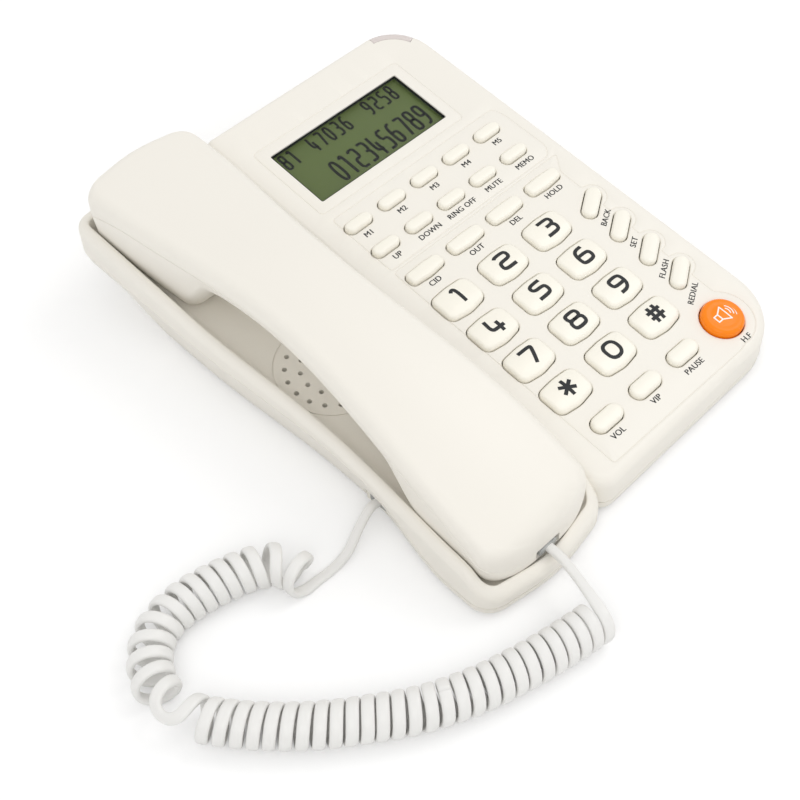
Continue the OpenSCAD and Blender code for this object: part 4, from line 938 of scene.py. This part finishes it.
def foot_section(y):
    """Lower half of a section: a drafted side, a round foot and a flat underside."""
    h, zs, z0, t = half_w(y), parting_z(y), under_z(y), under_blend(y)
    depth = zs - z0
    ch = min(depth - 0.4, 8.8)
    c = min(10 * (1 - t) + 5.6 * t, h - 4)
    draft = 0.8 * min(1, depth / 18)
    a = np.radians(np.linspace(0, 90, 13))
    r = np.column_stack([h - draft - c + c * np.cos(a), z0 + ch - ch * np.sin(a)])
    flat = np.column_stack([(h - draft - c) * np.linspace(1, 0, 5)[1:], np.full(4, z0)])
    s = np.linspace(0, 1, 4)[1:-1]
    side = np.column_stack([h - draft * s, zs - 0.3 + (z0 + ch - zs + 0.3) * s])
    return both_sides(np.vstack([[[h - 0.3, zs - 0.02], [h - 0.05, zs - 0.16], [h, zs - 0.33]], side, r, flat]))


def handset_skin(section):
    """Closed lengthwise loft of one half's sections."""
    loops = []
    for y in handset_stations():
        p = section(float(y))
        loops.append(np.column_stack([CRADLE_X + p[:, 0], np.full(len(p), y), p[:, 1]]))
    return Mesh().loft(loops, flip=section is top_section)


def handset_cutters():
    """Ear holes, mouthpiece holes and the socket's slot, as blind cuts."""
    holes, ring_r = Mesh(), 5.5
    spots = [(0.0, EAR_Y, 2.0)]
    spots += [(ring_r * math.cos(a), EAR_Y + ring_r * math.sin(a), 2.0) for a in np.radians(np.arange(0, 360, 45))]
    spots += [(3.0 * i, MIC_Y, 1.6) for i in (-1, 0, 1)]
    for x, y, d in spots:
        holes.join(upright(CRADLE_X + x, y, d, floor_z(y) - 3, floor_z(y) + 3.2, 20))
    slot = rounded_box((10.8, 9.0, 4.6), 0.4, centre=(0, 1.8, 0))
    return [holes, slot.moved(lambda p: with_rim(p, (CRADLE_X, HANDSET_FRONT, SLOT_Z)))]


# ---- Curly cord ----
COIL = np.array([[-109.5, -51], [-110.2, -45], [-113.5, -39.5], [-120, -35.5], [-129, -32.5], [-139, -30.5],
                 [-149, -30.5], [-157.5, -34], [-164, -41], [-167.2, -50], [-166.5, -59], [-160.5, -69.5],
                 [-152, -80], [-142, -90], [-130, -99.5], [-116, -109], [-101, -116], [-85, -121], [-71, -124.2],
                 [-57, -126.6]], float)
CURL_R, CURL_PITCH, CORD_T = 6.1, 4.3, 2.3
CURL_POINTS, LIFT_CURLS, LEAD_W = 24, 12, 3.3
TURN_L, TURN_W = 5.5, 0.35
COIL_Z = CURL_R + CORD_T / 2
JACK_Y, JACK_Z = FRONT_Y + 58.3, 7.0
JACK_MOUTH = -72.707
LEAD_BASE = [[JACK_MOUTH - 0.4, JACK_Y, JACK_Z], [JACK_MOUTH - 4.4, JACK_Y, JACK_Z], [-84, -48.2, 5],
             [-91, -50.6, 2.4], [-98, -51.4, 1.3], [-105, -51.1, CORD_T / 2]]
LEAD_HANDSET = [[CRADLE_X, HANDSET_FRONT + 3.6 * math.cos(RIM_TILT), SLOT_Z + 3.6 * math.sin(RIM_TILT)],
                [CRADLE_X, HANDSET_FRONT - 4.4, SLOT_Z], [-52.2, -111, 13.2], [-54.8, -119.5, 13.6]]


def spline(p, s):
    """Catmull-Rom line through the points p at the numbers s, where s counts the points."""
    p, s = np.asarray(p, float), np.asarray(s, float)
    n = len(p) - 1
    i = np.clip(np.floor(s), 0, n - 1).astype(int)
    t = (s - i)[:, None]
    a, b, c, d = p[np.maximum(0, i - 1)], p[i], p[i + 1], p[np.minimum(n, i + 2)]
    return 0.5 * (2 * b + (c - a) * t + (2 * a - 5 * b + 4 * c - d) * t ** 2 + (3 * b - 3 * c + d - a) * t ** 3)


def coil_axis(s):
    """Direction of the coil's axis at the numbers s."""
    return unit(spline(COIL, np.minimum(len(COIL) - 1, s + 0.02)) - spline(COIL, np.maximum(0, s - 0.02)))


def coil_line(per_curl):
    """Centres and section directions of the curls. With c counting the curls and f(c) the distance
    sqrt((c - m)^2 + w^2) from the curl m where the coil changes hand, the phase is
    -90 + 360 (f(0) - f(c)) degrees and the place along the inside of each bend grows as
    pitch c + (l / 2)(1 + (c - m) / f(c))."""
    fine = np.linspace(0, len(COIL) - 1, 153)
    c, a = spline(COIL, fine), coil_axis(fine)
    normal = np.stack([-a[:, 1], a[:, 0]], axis=-1)
    steps = np.min([np.linalg.norm(np.diff(c + normal * d, axis=0), axis=1) for d in (-CURL_R, CURL_R)], axis=0)
    inside = np.concatenate([[0], np.cumsum(steps)])
    curls = math.floor((inside[-1] - TURN_L) / CURL_PITCH) - 0.5
    turn_at = (curls + 0.5) / 2 - 7.5
    k = np.arange(int(round(curls * per_curl)) + 1) / per_curl
    far = np.hypot(k - turn_at, TURN_W)
    place = CURL_PITCH * k + TURN_L / 2 * (1 + (k - turn_at) / far)
    s = np.interp((place - place[0]) / (place[-1] - place[0]) * inside[-1], inside, fine)
    c, a = spline(COIL, s), coil_axis(s)
    phase = np.radians(-90 + 360 * (far[0] - far))
    out = np.stack([-a[:, 1] * np.cos(phase), a[:, 0] * np.cos(phase), np.sin(phase)], axis=-1)
    centre = level(c, COIL_Z) + out * CURL_R
    t = unit(np.gradient(centre, axis=0))
    along = unit(np.cross(out, t))
    return centre, np.cross(t, along), along


def cord_tube(centre, thick_dir, wide_dir, wide, sides=20):
    """Flat-oval tube: at each centre a superellipse of the two directions, joined ring to ring. wide holds
    the width at each centre."""
    a = 2 * np.pi * (np.arange(sides) + 0.5) / sides
    cw = np.sign(np.cos(a)) * np.abs(np.cos(a)) ** (2 / 3.0) / 2
    ct = np.sign(np.sin(a)) * np.abs(np.sin(a)) ** (2 / 2.4) * CORD_T / 2
    rings = (centre[:, None] + wide_dir[:, None] * cw[None, :, None] * wide[:, None, None]
             + thick_dir[:, None] * ct[None, :, None])
    turn = np.dot(np.cross(wide_dir[0], thick_dir[0]), centre[1] - centre[0]) > 0
    return Mesh().loft(rings, flip=not turn)


def lead_frames(centre):
    """Section directions along a lead: thick upwards, wide across the desk, square to the line."""
    t = unit(np.gradient(centre, axis=0))
    side = unit(np.cross([0, 0, 1], t))
    return np.cross(t, side), side


def lead_line(points, end):
    """A lead's smooth line through its points to the coil's end."""
    return spline(points + [end.tolist()], np.linspace(0, len(points), 40))


class TELEPHONE_PG_finish(bpy.types.PropertyGroup):
    """Colours and cord sizes that a user may change."""
    shell_hex: bpy.props.StringProperty(name="Shell colour", description="sRGB hex of the shells", default="#EEEAE1")
    key_hex: bpy.props.StringProperty(name="Key colour", description="sRGB hex of the key caps", default="#F5F1E5")
    orange_hex: bpy.props.StringProperty(name="Round key colour", description="sRGB hex of the loudspeaker key",
                                         default="#FF870C")
    cord_hex: bpy.props.StringProperty(name="Cord colour", description="sRGB hex of the curly cord", default="#E9E8E5")
    floor_hex: bpy.props.StringProperty(name="Floor colour", description="sRGB hex of the floor", default="#F6F6F6")
    cord_width: bpy.props.FloatProperty(name="Cord width", description="Width of the flat cord", default=0.0040,
                                        min=0.003, max=0.0041, unit="LENGTH", precision=4)
    label_size: bpy.props.FloatProperty(name="Label size", description="Type size of the words in millimetres",
                                        default=3.1, min=2.0, max=3.5)


class TELEPHONE_OT_stage(bpy.types.Operator):
    """Finishes, camera, lamps, world and floor"""
    bl_idname = "telephone.stage"
    bl_label = "Stage"

    def execute(self, context):
        scene, props = context.scene, context.scene.telephone
        for key, (name, code, *numbers) in FINISHES.items():
            MATERIALS[key] = finish_material(name, getattr(props, code, code), *numbers)
        cam = bpy.data.cameras.new("camera")
        # 1500 pixels of focal length on an 800 pixel frame
        cam.sensor_width, cam.lens = 36.0, 67.5
        cam.clip_start, cam.clip_end = 0.02, 20
        scene.camera = put("camera", cam)
        scene.camera.location = (-0.258561, -0.259532, 0.408051)
        scene.camera.rotation_euler = [math.radians(a) for a in (38.985737, 1.681802, -44.852664)]
        scene.view_settings.view_transform = "Standard"
        lamps = [("softbox", (0.70, -0.25, 1.0), 0.7, 2.4, (1.0, 0.995, 0.985)),
                 ("fill", (-0.65, -0.6, 0.9), 0.7, 1.9, (1.0, 0.99, 0.975))]
        for name, place, size, power, tint in lamps:
            light = bpy.data.lights.new(name, "AREA")
            light.shape, light.size, light.energy, light.color = "DISK", size, power, tint
            lamp = put(name, light)
            lamp.location = place
            lamp.rotation_euler = (-lamp.location).to_track_quat("-Z", "Y").to_euler()
        self.studio(scene)
        floor = Mesh()
        x, y = np.meshgrid(np.linspace(-1500, 1500, 41), np.linspace(-1500, 1500, 41))
        floor.strip(np.stack([x, y, 0 * x - 0.02], axis=-1), closed=False)
        floor = put("floor", floor.data("floor"))
        floor.data.materials.append(self.floor_material(props.floor_hex))
        return {"FINISHED"}

    def studio(self, scene):
        """White surroundings, a little dimmer as light than as the background that is seen."""
        scene.world = bpy.data.worlds.new("studio")
        tree = fresh_tree(scene.world)
        ray = node(tree, "ShaderNodeLightPath")
        seen = node(tree, "ShaderNodeMath", {"operation": "MAXIMUM"})
        tree.links.new(ray.outputs["Is Camera Ray"], seen.inputs[0])
        tree.links.new(ray.outputs["Is Transmission Ray"], seen.inputs[1])
        power = node(tree, "ShaderNodeMapRange", {"To Min": 0.86, "To Max": 1.0}, Value=seen.outputs[0])
        back = node(tree, "ShaderNodeBackground", {"Color": colour("#FFFFFF")}, Strength=power.outputs[0])
        node(tree, "ShaderNodeOutputWorld", Surface=back.outputs[0])

    def floor_material(self, code):
        """Matt white table: a diffuse surface that takes the shadow, with a little light of its own for the
        camera so that it reaches the white of the background."""
        mat = bpy.data.materials.new("white_table")
        tree = fresh_tree(mat)
        ray = node(tree, "ShaderNodeLightPath")
        base = node(tree, "ShaderNodeBsdfDiffuse", {"Color": colour(code), "Roughness": 0.9})
        power = node(tree, "ShaderNodeMath", {"operation": "MULTIPLY"})
        tree.links.new(ray.outputs["Is Camera Ray"], power.inputs[0])
        power.inputs[1].default_value = 0.12
        glow = node(tree, "ShaderNodeEmission", {"Color": (1, 1, 1, 1)}, Strength=power.outputs[0])
        both = node(tree, "ShaderNodeAddShader")
        tree.links.new(base.outputs[0], both.inputs[0])
        tree.links.new(glow.outputs[0], both.inputs[1])
        node(tree, "ShaderNodeOutputMaterial", Surface=both.outputs[0])
        return mat


class TELEPHONE_OT_cord(bpy.types.Operator):
    """Curly handset cord with its two straight leads"""
    bl_idname = "telephone.cord"
    bl_label = "Curly cord"

    def execute(self, context):
        wide = context.scene.telephone.cord_width / MM
        coil, out, along = coil_line(CURL_POINTS)
        # The last curls go into a piece of their own with the lead to the handset
        split = len(coil) - CURL_POINTS * LIFT_CURLS - 1
        self.base_piece(wide, coil[:split + 1], out[:split + 1], along[:split + 1])
        self.handset_piece(context, wide, coil, out, along, split)
        return {"FINISHED"}

    def base_piece(self, wide, coil, out, along):
        """The lead to the base and the curls that stay on the desk."""
        lead = lead_line(LEAD_BASE, coil[0])
        up, side = lead_frames(lead)
        line = np.vstack([lead[:-1], coil])
        width = LEAD_W + (wide - LEAD_W) * smooth((np.arange(len(line)) - len(lead) + 12) / 14)
        tube = cord_tube(line, np.vstack([up[:-1], -out]), np.vstack([side[:-1], -along]), width)
        cord = piece("curly_cord", tube, "cord", "base", ("cord_coil", "cord_lead_base"), 50, 0.0001)

    def handset_piece(self, context, wide, coil, out, along, split):
        """The lead to the handset and the last curls. The lead's last stretch turns its section to meet the
        end curl's."""
        lead = lead_line(LEAD_HANDSET, coil[-1])
        side = lead_frames(lead)[1]
        share = np.linspace(0, 1, len(lead))
        turn = smooth((share - 0.8) / 0.2)[:, None]
        goal = along[-1] * np.sign(np.dot(along[-1], side[-1]))
        side = unit(side * (1 - turn) + goal * turn)
        up = np.cross(unit(np.gradient(lead, axis=0)), side)
        width = LEAD_W + (wide - LEAD_W) * smooth((share - 0.6) / 0.4)
        rest = slice(len(coil) - 2, split - 1, -1)
        line = np.vstack([lead, coil[rest]])
        up = np.vstack([up, out[rest] * np.sign(np.dot(up[-1], out[-1]))])
        side = np.vstack([side, along[rest] * np.sign(np.dot(along[-1], side[-1]))])
        width = np.append(width, np.full(len(line) - len(lead), wide))
        obj = put("cord_to_handset", cord_tube(line, up, side, width).data("cord_to_handset", 0.0001))
        obj.data.materials.append(MATERIALS["cord"])
        obj.data.shade_smooth()
        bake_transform(obj)
        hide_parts("cord_lead_handset", "cord_coil")


class TELEPHONE_OT_plugs(bpy.types.Operator):
    """Modular plugs at both ends of the cord: clear body, latch and four gold contacts"""
    bl_idname = "telephone.plugs"
    bl_label = "Modular plugs"

    def execute(self, context):
        ends = [("base", lambda p: np.column_stack([p[:, 1] - 0.4, -p[:, 0], p[:, 2]]) + [JACK_MOUTH, JACK_Y, JACK_Z],
                 4.2),
                ("handset", lambda p: with_rim(p - [0, 0.4, 0], (CRADLE_X, HANDSET_FRONT, SLOT_Z)), 3.2)]
        for end, place, height in ends:
            body = rounded_box((7.6, 10.0, height), 0.4, centre=(0, 5.0, 0))
            body.join(rounded_box((3.0, 8.0, 0.5), 0.2, centre=(0, 5.2, 0.05 - height / 2)))
            piece("modular_plug_" + end, body.moved(place), "plug", end, ("cord_plug_" + end,))
            gold = Mesh()
            for i in range(4):
                gold.join(rounded_box((0.35, 3.0, 1.2), 0.12, 2, ((i - 1.5) * 1.02, 8.2, height / 2 - 0.7)))
            piece("plug_contacts_" + end, gold.moved(place), "contact", end)
        return {"FINISHED"}


class TELEPHONE_OT_base(bpy.types.Operator):
    """Upper shell, lower shell, lamp lens and the cradle's plunger"""
    bl_idname = "telephone.base"
    bl_label = "Base shells"

    def execute(self, context):
        line_opening = rounded_box((15.3, 10.8, 12.3), 0.6, centre=(24.0, BODY_BACK, panel_z(BODY_BACK) - 12.5))
        shell = cut(keypad_shell(), [*field_grooves(), lens_prism(0.15), line_opening])
        piece("keypad_shell", shell, "shell", "base", ("base_upper_shell",))
        piece("cradle_shell", cut(cradle_shell(), cradle_cutters()), "shell", "base", ("base_upper_shell",))
        piece("message_lamp", lamp_lens(), "lens", "base", ("message_lamp_lens",), 40)
        piece("lower_shell", lower_shell(), "shell", "base", ("base_lower_shell",), 30)
        flange_z = floor_z(HOOK_Y) - WALL - HOOK_RISE - 1.3
        button = rounded_box((9.0, 5.0, 8.7), 0.8, centre=(CRADLE_X, HOOK_Y, flange_z + 3.05))
        button.join(rounded_box((12.0, 8.0, 1.2), 0.3, 3, (CRADLE_X, HOOK_Y, flange_z)))
        piece("cradle_plunger", button, "key", "hook", ("hook_plunger",))
        return {"FINISHED"}


class TELEPHONE_OT_display(bpy.types.Operator):
    """Display ground, its digits and the clear window"""
    bl_idname = "telephone.display"
    bl_label = "Display"

    def execute(self, context):
        ground = rounded_box((LCD_W + 4.0, LCD_H + 4.0, 1.0), 0.2, 2, (0, 0, -2.4))
        piece("display_ground", place_on_panel(ground, LCD_U, LCD_V), "lcd", "base")
        # A line of ten large digits under a line of eleven small ones in three groups
        marks = [(i, -17.6 + i * 4.75, -11.4, (3.1, 10.4), 1.2) for i in range(10)]
        marks += [((i * 3 + 8) % 10, -29.5 + i * 4.1 + (5.5 if i > 1 else 0) + (7.5 if i > 6 else 0), 5.6,
                   (2.3, 7.4), 1.0) for i in range(11)]
        digits = Mesh()
        for digit, u, v, size, pen in marks:
            for path in strokes(str(digit), 1):
                ink_stroke(digits, path * size + [u, v], pen, lambda a, b: 0 * a - 1.9, 0.06, 0.02)
        piece("display_digits", place_on_panel(digits, LCD_U, LCD_V), "segment", "base", merge=0.0001)
        glass = rounded_box((LCD_W - 0.3, LCD_H - 0.3, 1.5), 0.25, 3, (0, 0, -1.05))
        data = piece("display_glass", place_on_panel(glass, LCD_U, LCD_V), "window", "base",
                     ("display_window",)).data
        # The window's edges are printed dark
        data.materials.append(MATERIALS["lcd_edge"])
        facing = np.zeros(len(data.polygons) * 3)
        data.polygons.foreach_get("normal", facing)
        edge = np.abs(facing.reshape(-1, 3) @ [0, -SIN, COS]) < 0.8
        data.polygons.foreach_set("material_index", edge.astype(np.int32))
        return {"FINISHED"}


class TELEPHONE_OT_keys(bpy.types.Operator):
    """Key caps, printed digits and function words"""
    bl_idname = "telephone.keys"
    bl_label = "Keys and print"

    def execute(self, context):
        for name, kind, u, v, w, h, angle in key_rows():
            finish, slot = ("orange", "orange_key") if kind == "round" else ("key", "key")
            piece("cap_" + name, key_cap(kind, u, v, w, h, angle), finish, "button_" + name, ("key_" + name,), 40)
            if kind == "number":
                piece("digit_" + name, digit_mesh(name, u, v), "ink", "button_" + name, merge=0.0001)
        piece("speaker_symbol", speaker_symbol(), "white_ink", "button_speaker", merge=0.0001)
        words = label_mesh(LABELS, context.scene.telephone.label_size)
        piece("function_words", words, "ink", "base", merge=0.0001)
        return {"FINISHED"}


class TELEPHONE_OT_handset(bpy.types.Operator):
    """Handset's two shells with ear holes, mouthpiece holes and socket slot"""
    bl_idname = "telephone.handset"
    bl_label = "Handset"

    def execute(self, context):
        piece("handset_back", handset_skin(top_section), "shell", "handset", ("handset_upper_shell",), 35)
        face = cut(handset_skin(foot_section), handset_cutters())
        piece("handset_face", face, "shell", "handset", ("handset_lower_shell",), 35)
        return {"FINISHED"}


# Finishes of the CAD nodes that keep their own shape
KEPT = {"display_module": "lcd_edge", "main_board": "board", "keypad_mat": "silicone", "loudspeaker": "steel",
        "base_cord_jack": "nylon", "line_jack": "dark", "rubber_feet": "rubber", "base_screws": "steel",
        "battery_door": "shell", "hook_switch": "dark", "receiver_capsule": "steel",
        "microphone_capsule": "aluminium", "handset_jack": "dark", "handset_weight": "steel"}


class TELEPHONE_OT_fittings(bpy.types.Operator):
    """Finishes of the fittings that keep the construction's shape"""
    bl_idname = "telephone.fittings"
    bl_label = "Fittings"

    def execute(self, context):
        for name, finish in KEPT.items():
            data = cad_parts[name].data
            data.materials.clear()
            data.materials.append(MATERIALS[finish])
        return {"FINISHED"}


class TELEPHONE_PT_panel(bpy.types.Panel):
    """The telephone's steps, in the 3D view's sidebar"""
    bl_idname = "TELEPHONE_PT_panel"
    bl_label = "Telephone"
    bl_space_type = "VIEW_3D"
    bl_region_type = "UI"
    bl_category = "Telephone"

    def draw(self, context):
        for prop in TELEPHONE_PG_finish.__annotations__:
            self.layout.prop(context.scene.telephone, prop)
        for step in OPERATORS:
            self.layout.operator(step.bl_idname)


OPERATORS = (TELEPHONE_OT_stage, TELEPHONE_OT_cord, TELEPHONE_OT_plugs, TELEPHONE_OT_base, TELEPHONE_OT_display,
             TELEPHONE_OT_keys, TELEPHONE_OT_handset, TELEPHONE_OT_fittings)
CLASSES = (TELEPHONE_PG_finish, *OPERATORS, TELEPHONE_PT_panel)


def register():
    for cls in CLASSES:
        bpy.utils.register_class(cls)
    bpy.types.Scene.telephone = bpy.props.PointerProperty(type=TELEPHONE_PG_finish)


def unregister():
    del bpy.types.Scene.telephone
    for cls in reversed(CLASSES):
        bpy.utils.unregister_class(cls)


def main():
    register()
    bpy.ops.telephone.stage()
    bpy.ops.telephone.cord()
    bpy.ops.telephone.plugs()
    bpy.ops.telephone.base()
    bpy.ops.telephone.display()
    bpy.ops.telephone.keys()
    bpy.ops.telephone.handset()
    bpy.ops.telephone.fittings()


if __name__ == "__main__":
    main()
